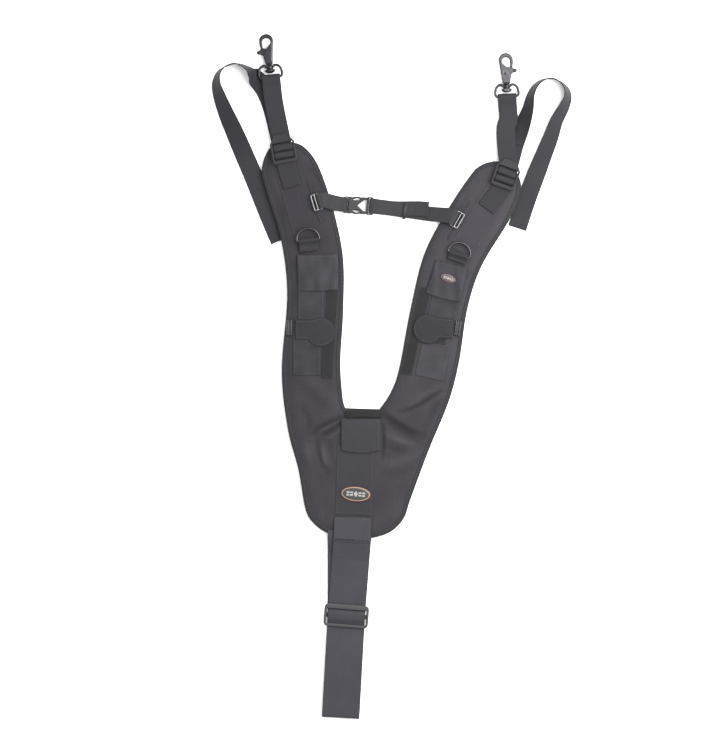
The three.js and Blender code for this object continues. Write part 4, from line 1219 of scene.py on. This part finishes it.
def make_ring(side):
    """The D-ring and the folded tab that holds it."""
    name, place, foot = side["name"], side["ring"], side["ring_tab"]
    w, r, height, z = 13.2, 1.3, 15.5, 15.6
    bow = [((w + r) * math.cos(a), 2.5 + (height - 2.5) * math.sin(a)) for a in np.linspace(0, math.pi, 25)]
    corner = [(w + r, 2.5), (w + 1.2, 0.7), (w - 0.6, 0)]
    outline = [(-w + 4, 0), (0, 0), (w - 4, 0), *corner[::-1], *bow[1:-1]]
    outline += [(-x, y) for x, y in corner]
    path = spline([(x, y, z) for x, y in outline], 0.9, closed=True)
    wire = Build().add(*tube(place_points(place, path), r, 14, closed=True))
    wire.finish(name + "_ring_wire", "ring_metal", name + "_ring", name + "_d_ring", "gunmetal")

    build = Build()
    profile = [(0, 12.75), (foot - 3, 12.95), *arc(foot, z, 2.55, -95, 130, 12)]
    profile += [(foot - 4.4, 15.3), (foot - 6, 14.5), (0, 14.2)]
    plan = place_points(place, [(0, -foot), (0, 6)])
    points, across, _ = plan_path(plan, profile, 0.7)
    build.add(*ribbon(points, across, 25.2, 1.15))
    for s in (-foot + 1.4, -foot + 4.6 if foot > 12 else -foot + 1.9):
        a, b = place_points(place, [(-10.6, s), (10.6, s)])[:, :2]
        bar_tack(build, a, b, 14.75, 1.3)
    tacks = "thread" if side["hand"] > 0 else "dark_thread"
    build.finish(name + "_ring_tab", ["webbing", tacks], "yoke", name + "_d_ring_tab", "webbing")


def make_rail_and_clip(side):
    """The piping on the pad and the wire clip that slides along it."""
    name, place, hand = side["name"], side["rail"], side["hand"]
    build = Build()
    ys = np.linspace(-30, 30, 81)
    fat = np.clip(np.minimum(ys + 30, 30 - ys) / 4.0, 0.15, 1) ** 0.5
    local = np.column_stack([np.zeros(len(ys)), ys])
    base = pad_height(place_points(place, local))
    core = place_points(place, np.column_stack([local, base - 0.6 + 0.7 * fat]))
    add_bar(build, core, 1.2 * fat, 12)
    build.finish(name + "_rail_piping", "face", "yoke", name + "_sternum_rail", "binding")

    build = Build()
    flip = place if hand > 0 else (place[0], place[1], place[2] + 180)
    outer = rounded_rect(12, 22.4, 2.4, 2.3, 0, 0.6)
    holes = [rounded_rect(2.3, 18.4, 0.9, -0.25, 0, 0.6), rounded_rect(2.8, 20, 0.9, 4.3, 0, 0.6)]
    build.add(*plate(outer, 14.6, 16.4, 0.85, holes, flip, 1.6))
    for y in (-6.5, 6.5):
        leg = rounded_rect(-2.35 + 3.6, 5.0, 0.5, (-3.6 - 2.35) / 2, y, 0.6)
        build.add(*plate(leg, 12.5, 15.4, 0.4, (), flip, 1.5))
    build.finish(name + "_clip_wire", "bright", name + "_clip", name + "_sternum_clip", "wire")


# ------------------------------------------------------------------ hardware
def prism(outline, low, high, place):
    """A straight-sided body, used to cut others."""
    rings = np.array([[(x, y, z) for x, y in outline] for z in (low, high)])
    verts, faces = loft(rings)
    return place_points(place, verts), faces


def carve(piece, *bodies):
    """Cuts closed bodies in the layout, mm, out of a piece."""
    build = Build()
    for verts, faces in bodies:
        build.add(verts, faces)
    cutter = build.finish("cutter", "plastic", smooth=False)
    modifier = piece.modifiers.new("cut", "BOOLEAN")
    modifier.object = cutter
    modifier.solver = "EXACT"
    modifier.use_self = True
    made = piece.evaluated_get(bpy.context.evaluated_depsgraph_get())
    mesh = bpy.data.meshes.new_from_object(made)
    piece.modifiers.clear()
    piece.data = mesh
    mesh.set_sharp_from_angle(angle=math.radians(40))
    bpy.data.objects.remove(cutter)


def moulded(shape, name, material, body, stands_for):
    return Build().add(*shape).finish(name, material, body, stands_for, "plastic")


def make_lock(side):
    """Ladder lock: rails and end bars proud, cross bars sunk under the webbing, a lip to lift."""
    outline = outline_of([(-14, 0), (14, 0), (16, 2), (16, 27), (13.5, 30), (8, 38), (-8, 38), (-13.5, 30),
                          (-16, 27), (-16, 2)], 1.0)
    holes = [rounded_rect(26.2, y1 - y0, 0.8, 0, (y0 + y1) / 2, 0.9)
             for y0, y1 in ((5, 9.5), (13.5, 18.5), (22.5, 27))]

    def height(xy):
        x, y = np.abs(xy[:, 0]), xy[:, 1]
        sunk = (x < 13.2) & (y > 8) & (y < 24)
        lip = np.clip((y - 28.5) / 9, 0, 1)
        return np.where(sunk, -0.8, 0.0) - 0.9 * lip

    name = side["name"]
    shape = plate(outline, 14.6, 17.6, 0.9, holes, side["lock"], 1.8, height)
    piece = moulded(shape, name + "_lock_frame", "plastic", name + "_lock", name + "_ladder_lock")
    piece.data.set_sharp_from_angle(angle=math.radians(50))


HOOK_EDGE = ([(-3.8, 17), (5.6, 17), (7.3, 29.2), (8.8, 41.3)]
             + arc(0.3, 47, 9.4, 0, 180, 24)
             + [(-9, 42.4), (-8, 37), (-5.2, 37.2), (-5, 41.4)]
             + arc(0.2, 45.7, 5.2, 180, 0, 16)
             + [(5.3, 43.8), (-0.6, 37.6), (-3.2, 34.2), (-5.4, 30.6), (-6, 27.4), (-4.8, 21.4)])
GATE_EDGE = [(-4.6, 38.2), (-7.2, 38.6), (-9, 36.2), (-12, 34.8), (-12.2, 31.6), (-9.2, 30.4), (-6.4, 28.4),
             (-2.4, 26.4), (1.6, 25.6), (4.4, 27.4), (4.7, 34), (3.4, 38.6), (-0.8, 37.4)]
SPINE_EDGE = [(3.6, 20), (5.3, 20), (6.5, 29), (7.8, 42), (7, 46.5), (6.6, 42), (4.9, 30)]
HOOK_SHIFT = -1.0


def hook_points(side, points):
    """Hook points in the swivel's frame, the height measured from the hook's middle."""
    p = np.array(points, float)
    if side["hand"] < 0:
        p[:, 0] *= -1
        p[:, 2] *= -1
    p[:, 2] += HOOK_Z
    return place_points(side["eye"], p)


def hook_plate(side, build, outline, low, high, radius, grid=1.3):
    outline = outline_of(outline, 0.75) + [HOOK_SHIFT, 0]
    verts, faces, slots, uv = plate(outline, low, high, radius, (), None, grid)
    build.add(hook_points(side, verts), faces, slots, uv)


def turned(side, build, profile, x=0.0, lowest=-9.0):
    """A body turned about the hook's own axis, flattened underneath at the height `lowest`."""
    rings = [[(x + r * math.cos(q), y, max(r * math.sin(q), lowest)) for q in circle(28)] for r, y in profile]
    verts, faces = loft(rings)
    build.add(hook_points(side, verts), faces)


def upright(side, build, cx, cy, profile):
    """A body turned about an axis across the hook."""
    rings = [[(cx + HOOK_SHIFT + r * math.cos(q), cy + r * math.sin(q), z) for q in circle(24)]
             for r, z in profile]
    verts, faces = loft(rings)
    build.add(hook_points(side, verts), faces)


def stud(radius, half, dome=0.4):
    """The profile of a pin with domed ends."""
    return [(0.02, -half), (radius - dome, -half), (radius, -half + dome), (radius, half - dome),
            (radius - dome, half), (0.02, half)]


def make_hook_body(side, metal):
    name = side["name"]
    build = Build()
    hook_plate(side, build, HOOK_EDGE, -2.5, 2.5, 1.15)
    body = build.finish(name + "_hook_shell", metal, name + "_hook", name + "_hook_body", "gunmetal")
    gap = np.array([(-12, 24.6), (5.3, 24.6), (5.3, 44), (-12, 44)]) + [HOOK_SHIFT, 0]
    verts, faces = prism(gap, -1.4, 1.4, (0, 0, 0))
    carve(body, (hook_points(side, verts), faces))

    build = Build()
    ball = [(0.02, 4.9), (2.6, 5.1), (3.8, 5.4), (4.8, 5.9), (5.7, 6.5), (6.3, 7.2), (6.7, 8), (6.8, 8.6),
            (6.7, 9.1), (6.5, 9.4), (5.9, 9.7), (5.4, 9.8), (0.02, 9.8)]
    shank = [(0.02, 8.6), (2.3, 8.6), (2.3, 15.6), (3.6, 15.7), (4.3, 16.1), (4.3, 17.2), (3.8, 17.6),
             (2.6, 17.8), (2.4, 18.6), (0.02, 18.6)]
    turned(side, build, ball, lowest=-4.6)
    turned(side, build, shank, 0.4 + HOOK_SHIFT * 0.4)
    build.finish(name + "_hook_stem", "gunmetal", name + "_hook")

    build = Build()
    for low, high in ((2.3, 2.85), (-2.85, -2.3)):
        hook_plate(side, build, SPINE_EDGE, low, high, 0.25)
    # The left hook's spine ridge is drawn in a lighter metal: a painted highlight.
    build.finish(name + "_hook_spine", "worn_metal" if side["hand"] > 0 else metal, name + "_hook")


def make_hook_gate(side, metal):
    name = side["name"]
    build = Build()
    upright(side, build, 1.5, 29, stud(0.95, 3.3))
    for z in (-1, 1):
        head = [(0.02, 2.7), (1.8, 2.7), (1.8, 3.1), (1.4, 3.4), (0.02, 3.45)]
        upright(side, build, 1.5, 29, [(r, z * h) for r, h in head])
    build.finish(name + "_gate_rivet", "gunmetal", name + "_hook", name + "_gate_pin", "gunmetal")

    build = Build()
    hook_plate(side, build, GATE_EDGE, -1.05, 1.05, 0.45, 1.0)
    upright(side, build, -11.2, 33, stud(2.4, 2.4, 0.8))
    build.finish(name + "_gate_lever", metal, name + "_gate", name + "_hook_gate", "gunmetal")


def make_eye(side):
    """The heart-shaped eye and the collar that the hook's stem turns in."""
    name = side["name"]
    line = [(-4, 0), (4, 0), (12.9, 0), (14.9, 2), (14.9, 7), (13.6, 11.4), (10.5, 14.5), (7.1, 15.2),
            (3.5, 13.1), (-3.5, 13.1), (-7.1, 15.2), (-10.5, 14.5), (-13.6, 11.4), (-14.9, 7), (-14.9, 2),
            (-12.9, 0)]
    path = spline([(x, y, HOOK_Z) for x, y in line], 0.9, closed=True)
    build = Build().add(*tube(place_points(side["eye"], path), 1.75, 14, closed=True))
    inner, outer = 2.72, 4.6
    profile = [(inner, 10.4), (inner + 0.3, 10.2), (outer - 0.6, 10.2), (outer, 10.8), (outer, 14.6),
               (outer - 0.6, 15.2), (inner + 0.3, 15.2), (inner, 15)]
    rings = [[(r * math.cos(q), y, HOOK_Z + r * math.sin(q)) for r, y in profile] for q in circle(28)]
    verts, faces = loft(rings, closed=True)
    build.add(place_points(side["eye"], verts), faces)
    build.finish(name + "_eye_wire", "gunmetal", name + "_eye", name + "_swivel_eye", "gunmetal")


def make_glide():
    outline = rounded_rect(58, 29.5, 5, 0, 0, 1.2)
    holes = [rounded_rect(51.4, 8.4, 1.2, 0, -6.8, 1.0), rounded_rect(51.4, 5.8, 1.2, 0, 5.5, 1.0)]

    def height(xy):
        return np.where((np.abs(xy[:, 1]) < 4.2) & (np.abs(xy[:, 0]) < 26), -1.8, 0.0)

    shape = plate(outline, 4.2, 6.7, 1.0, holes, GLIDE, 1.8, height)
    piece = moulded(shape, "glide_frame", "glide", "glide", "tri_glide")
    piece.data.set_sharp_from_angle(angle=math.radians(50))


SOCKET_EDGE = [(-19.6, -9.6), (-18.4, -11), (-9.6, -11), (-7, -6.6), (0, -6.6), (3.6, -11), (9, -11),
               (9, -9.4), (-1.3, 0), (9, 9.4), (9, 11), (3.6, 11), (0, 6.6), (-7, 6.6), (-9.6, 11),
               (-18.4, 11), (-19.6, 9.6)]
ARM_EDGE = [(11, 7.9), (4, 8.2), (-2.6, 9.4), (-7.4, 7.6), (-10.4, 5.4), (-11.2, 6.4), (-10.6, 9.2),
            (-7.8, 10.6), (-2.4, 11.6), (4, 10.4), (11, 10.2)]


def make_buckle():
    outline = outline_of(SOCKET_EDGE, 0.9)
    hole = rounded_rect(3, 20.6, 0.8, -15.5, 0, 0.9)
    shape = plate(outline, 0.6, 8.2, 1.2, [hole], BUCKLE, 1.6)
    socket = moulded(shape, "socket_shell", "buckle", "yoke", "buckle_socket")
    cuts = [prism([(-11.8, y0), (-4, y0), (-4, y1), (-11.8, y1)], 2.2, 6.6, BUCKLE)
            for y0, y1 in ((4.6, 14), (-14, -4.6))]
    cuts.append(prism([(-4.2, -14), (12, -14), (12, 14), (-4.2, 14)], 2.2, 6.6, BUCKLE))
    carve(socket, *cuts)

    base = rounded_rect(9, 23.4, 1.6, 14.6, 0, 0.8)
    hole = rounded_rect(3, 20.6, 0.8, 14.5, 0, 0.9)
    build = Build().add(*plate(base, 2.4, 7.4, 1.2, [hole], BUCKLE, 1.6))
    for flip in (1, -1):
        arm = spline([(x, y * flip) for x, y in ARM_EDGE], 0.8, closed=True)
        build.add(*plate(arm, 2.7, 6.1, 0.7, (), BUCKLE, 1.2))
    build.finish("insert_prongs", "buckle", "buckle_insert", "buckle_insert", "plastic")


def make_keeper():
    half, thick, rim = 2.2, 1.2, 0.6
    y0, z0, z1 = 10.4, 4.2, 9.1
    section = [(-half + rim, 0), (half - rim, 0), (half, rim), (half, thick - rim), (half - rim, thick),
               (-half + rim, thick), (-half, thick - rim), (-half, rim)]
    corners = [(-y0, z0, -1, -1), (y0, z0, 1, -1), (y0, z1, 1, 1), (-y0, z1, -1, 1)]
    rings = [[(x, y + sy * q, z + sz * 0.8 * q / thick) for x, q in section] for y, z, sy, sz in corners]
    verts, faces = loft(rings, closed=True)
    build = Build().add(place_points(KEEPER, verts), faces)
    build.finish("keeper_band", "buckle", "keeper", "web_keeper", "plastic")


# ------------------------------------------------------------------ webbing
def tack_line(build, path, across, at, width, lift):
    """Bar tacks across webbing, at distances along its path."""
    run = distances(path)
    for s in at:
        p = sample(s, run, path)
        reach = unit(sample(s, run, across)) * width / 2
        bar_tack(build, (p - reach)[:2], (p + reach)[:2], p[2] + lift, 1.5)


def strap(name, plan, profile, width, thick, material, body, stands_for=(), columns=11, tacks=(),
          start=0.0, skew=0.0, skewed=0.0):
    """Webbing with a side view laid along a plan. skew moves its first `skewed` mm sideways."""
    points, across, _ = plan_path(plan, profile, 1.0)
    if skew:
        run = np.arange(len(points))[:, None]
        points += across * skew * (1 - smooth(run / skewed))
    build = Build().add(*ribbon(points, across, width, thick, 0.0, columns, start))
    tack_line(build, points, across, tacks, width - 3, thick / 2)
    return build.finish(name, [material, "dark_thread"], body, stands_for, "webbing")


def make_hook_strap(side):
    name, lock, eye = side["name"], side["lock"], side["eye"]
    on_lock = place_points(lock, [(0, y) for y in (0, 10, 20, 28)])[:, :2]
    on_eye = place_points(eye, [(0, y) for y in (-30, -10, 0)])[:, :2]
    plan = np.vstack([on_lock, np.array(side["via"], float).reshape(-1, 2), on_eye])
    end = plan_path(plan, [(0, 0), (1, 0)])[2]
    profile = [(16.6, 14.4), (16.6, 16.8), (18.2, 18), (23, 18), (24.5, 17), (25.1, 15), (26, 13.7),
               (28, 13.2), (35, 13.2), (46, 11.8), (60, 9.4), (end - 26, 7.2), (end - 11, 7.6),
               (end - 5, 9.3), *arc(end, 7, 2.95, 100, -90, 12), (end - 6, 4.1), (end - 14, 4.3),
               (end - 26, 4.9)]
    lock_side = place_points(lock, [(0, 24)])[0]
    eye_side = place_points(eye, [(0, -30)])[0]
    body = (name + "_lock", name + "_strap", lock_side, eye_side)
    strap(name + "_hook_webbing", plan, profile, SHOULDER_WEB, 1.5, "webbing", body, name + "_hook_strap")


def make_anchor(side):
    """The webbing that holds the ladder lock to the pad."""
    name, lock = side["name"], side["lock"]
    on_lock = place_points(lock, [(0, 0), (0, 8), (0, 18)])[:, :2]
    foot_point = np.array([side["foot"]], float)
    plan = np.vstack([foot_point, on_lock])
    foot = np.linalg.norm(on_lock[0] - foot_point[0])
    profile = [(0, 11.85), (foot - 6, 12.2), (foot, 12.9), (foot + 5.4, 13.2), (foot + 7, 14.6),
               (foot + 7.3, 16.8), (foot + 9.2, 18), (foot + 13.4, 18), (foot + 14.7, 16.8),
               (foot + 14.8, 14.2)]
    start = np.r_[plan[0] + 0.72 * (plan[1] - plan[0]), 0]
    root = ("yoke", name + "_lock", start, place_points(lock, [(0, 2)])[0])
    strap(name + "_anchor_webbing", plan, profile, SHOULDER_WEB, 1.3, "webbing", root,
          name + "_anchor_tab", tacks=(1.2,))


TAIL_STEP = 1.5
TAIL_ROOT = 24  # steps from the ladder lock to where the free tail starts


def tail_route(side):
    """The middle of a tail and the direction across it, at every step."""
    hand = side["hand"]
    route = spline(LEFT_TAIL if hand > 0 else RIGHT_TAIL, TAIL_STEP)
    roll = np.radians(route[:, 3])
    base = np.maximum(route[:, 2], 0)
    z = base + 0.05 + SHOULDER_WEB / 2 * np.sin(roll) + 0.75 * np.cos(roll)
    t = unit(np.gradient(route[:, :2], axis=0))
    leftward = np.column_stack([-t[:, 1], t[:, 0]])
    across = np.column_stack([leftward * np.cos(roll)[:, None], hand * np.sin(roll)])
    return np.column_stack([route[:, :2], z]), across


def make_tail(side):
    """The free end of the hook strap, loose on the floor, partly on its edge."""
    name = side["name"]
    points, across = tail_route(side)

    def webbing(low, high):
        part = ribbon(points[low:high], across[low:high], SHOULDER_WEB, 1.4, 0.0, 13, TAIL_STEP * low)
        return Build().add(*part)

    lock = place_points(side["lock"], [(0, 24)])[0]
    body = (name + "_lock", "yoke", lock, np.r_[points[TAIL_ROOT, :2], 0])
    root = webbing(0, TAIL_ROOT + 1).finish(name + "_tail_root", "webbing", body)
    free = webbing(TAIL_ROOT, len(points))
    free = free.finish(name + "_tail", "webbing", "yoke", name + "_strap_tail", "webbing")
    path = [world(p) for p in points[TAIL_ROOT:]]
    length = distances(points[TAIL_ROOT:])[-1] * MM


def make_left_chest_web():
    rail = LEFT["rail"]
    plan = np.vstack([place_points(rail, [(2, 0), (8, 0), (12, 0)])[:, :2], [(-76, 226.2)],
                      place_points(BUCKLE, [(-19, 0), (-12, 0)])[:, :2]])
    end = plan_path(plan, [(0, 0), (1, 0)])[2]
    profile = [(9.5, 13.3), (5, 13.4), (2.2, 14.2), (2.1, 16.4), (3.4, 17.3), (7, 17.3), (12, 16), (20, 12.6),
               (end - 13, 9.5), (end - 8.6, 9.3), (end - 5, 9.2), (end - 3.6, 8.2), (end - 3.5, 4.2)]
    body = bending("left_clip", "yoke", rail, (9, 0), (30, -2))
    strap("left_chest_web", plan, soften(profile, 1), CHEST_WEB, 1.2, "chest_webbing", body,
          "left_sternum_web", tacks=(15.5, 27))


def make_right_chest_web():
    rail = RIGHT["rail"]
    plan = np.vstack([place_points(BUCKLE, [(14.4, 0), (19, 0)])[:, :2], [(15.6, 216.8), (50, 211.8)],
                      place_points(rail, [(-12, 0), (-8, 0), (-2, 0)])[:, :2]])
    bar = plan_path(plan, [(0, 0), (1, 0)])[2] - 5
    upper = [(76, 11.7), (66, 9.8), (57, 8.4), (44, 7.2), (30, 7.3), (22, 8.1), (9, 9.2), (5.2, 9),
             (1.2, 8.6), (0, 7.2), (0, 3.4), (0.9, 1.5), (3, 1.05), (6, 1.05), (12, 2.4), (22, 5.8),
             (30, 5.7), (44, 5.7), (60, 6.4), (74, 7.93)]
    lower = [(74, 7.93), (bar - 22, 11.4), (bar - 9, 15.8), (bar - 3.4, 17.3), (bar + 1.4, 17.3),
             (bar + 2.8, 16.4), (bar + 2.9, 14.2), (bar, 13.4), (bar - 4.5, 13.3)]
    start = place_points(BUCKLE, [(18, 0), (88, 0)])
    body = ("buckle_insert", "yoke", start[0], start[1])
    strap("right_web_inner", plan, upper, CHEST_WEB, 1.2, "chest_webbing", body, "right_sternum_web",
          tacks=(1.5,), skew=5.5, skewed=52)
    body = bending("yoke", "right_clip", rail, (-34, 0), (-8, 0))
    strap("right_web_outer", plan, lower, CHEST_WEB, 1.2, "chest_webbing", body, (), start=130.0)


def make_rear_strap():
    a, b = np.array([-52.8, -210.6]), np.array(GLIDE[:2])
    reach = np.linalg.norm(b - a)
    upper = [(-6, 10.2), (0, 9.4), (7, 8.9), (16, 6.4), (28, 3.8), (50, 2.9), (reach - 16, 2.85),
             (reach - 8.6, 2.9), (reach - 4.4, 5.8), (reach, 6.2)]
    end = np.array(REAR_END)
    along = unit(b - a)
    down = unit(end - b)
    plan = np.vstack([a, a + 0.5 * (b - a), b, b + down * 30, end])
    body = ("yoke", "glide", np.r_[a + along * 12, 0], np.r_[b - along * 16, 0])
    strap("rear_strap_upper", plan, upper, REAR_WEB, 1.5, "rear_webbing", body, "rear_strap", 17)

    plan = np.vstack([b - along * 0.6, b, b + down * 30, end])
    full = np.linalg.norm(end - b)
    turn = full - 4.4
    loop = [(0, 6.2), (4.4, 5.8), (10, 2.9), (15, 2.85), (24, 3.4), (42, 6.6), (60, 7.8), (turn, 8.1),
            *arc(turn, 4.5, 3.6, 75, -75, 10), (turn, 0.95), (60, 0.95), (0, 0.95)]
    body = ("glide", "yoke", np.r_[b + down * 14, 0], np.r_[end - down * 14, 0])
    strap("rear_strap_loop", plan, soften(loop, 1), REAR_WEB, 1.5, "rear_webbing", body, (), 17, start=reach)

    top = np.array([-60.6, -199.0])
    plan = np.vstack([top, 0.5 * (top + b), b])
    reach = np.linalg.norm(b - top)
    under = [(0, 8.4), (10, 7.6), (18, 5), (28, 1.6), (40, 0.95), (reach + 0.3, 0.95)]
    strap("rear_strap_under", plan, under, REAR_WEB, 1.5, "rear_webbing", "yoke", (), 17)


# ------------------------------------------------------------------ floor, light and camera
def make_stage():
    mesh = bpy.data.meshes.new("floor")
    half = 4.0
    corners = [(-half, -half, 0), (half, -half, 0), (half, half, 0), (-half, half, 0)]
    mesh.from_pydata(corners, [], [(0, 1, 2, 3)])
    n = Nodes("floor_paper")
    n.set(color=(0.92, 0.92, 0.92, 1), rough=0.9, spec=0.1)
    mesh.materials.append(n.material)
    floor = bpy.data.objects.new("floor", mesh)
    floor.location.z = -0.0004
    bpy.context.scene.collection.objects.link(floor)


def area_light(name, location, target, size, power):
    data = bpy.data.lights.new(name, "AREA")
    data.shape = "SQUARE"
    data.size = size
    data.energy = power
    light = bpy.data.objects.new(name, data)
    light.location = location
    light.rotation_euler = (Vector(target) - Vector(location)).to_track_quat("-Z", "Y").to_euler()
    bpy.context.scene.collection.objects.link(light)


def make_lights():
    studio = bpy.data.worlds.new("studio")
    studio.use_nodes = True
    studio.node_tree.nodes["Background"].inputs["Color"].default_value = (1, 1, 1, 1)
    studio.node_tree.nodes["Background"].inputs["Strength"].default_value = 1.6
    bpy.context.scene.world = studio
    area_light("key", (0.62, 0.36, 1.05), (-0.05, 0.0, 0.0), 1.1, 38)


def make_camera():
    """Straight above, far off, framing 0.97 m of the floor from top to bottom."""
    data = bpy.data.cameras.new("camera")
    data.lens = 180
    data.sensor_width = 36
    camera = bpy.data.objects.new("camera", data)
    camera.location = (-0.04945, 0.0062, 0.9698 * data.lens / data.sensor_width + 0.008)
    bpy.context.scene.collection.objects.link(camera)
    bpy.context.scene.camera = camera


def make_patches():
    build = Build()
    patch = Panel((55, 49.5, -8), 28, 12, 0.9, edge=0.6)
    patch.add_to(build).stitches(build, 1.2)
    build.finish("loop_patch_pile", ["pile", "dark_thread"], "yoke", "right_loop_patch", "hook_pile")
    looks = ["small_rim", "small_ring", "small_field", "badge_mark"]
    make_badge("flap_badge", (71.6, 128.1, -20), 10.2, 5, 14.7, "right_flap", "right_flap_patch", looks)


make_yoke()
make_edge_tape()
make_centre_webbing()
make_rear_tab()
make_neck_loop()
make_neck_flap()
make_back_badge()
for side in SIDES:
    make_pad_band(side)
    make_pad_panels(side)
    make_grip(side)
    make_pad_flap(side)
    make_round_tab(side)
    make_slot_band(side)
    make_ring(side)
    make_rail_and_clip(side)
    make_lock(side)
    # The right hook uses the lighter copy of the hook metal: painted reflection.
    metal = "gunmetal" if side["hand"] > 0 else "face_metal"
    make_hook_body(side, metal)
    make_hook_gate(side, metal)
    make_eye(side)
    make_hook_strap(side)
    make_anchor(side)
    make_tail(side)
make_patches()
make_left_chest_web()
make_right_chest_web()
make_rear_strap()
make_glide()
make_buckle()
make_keeper()
make_stage()
make_lights()
make_camera()
bpy.context.scene.view_settings.view_transform = "Standard"
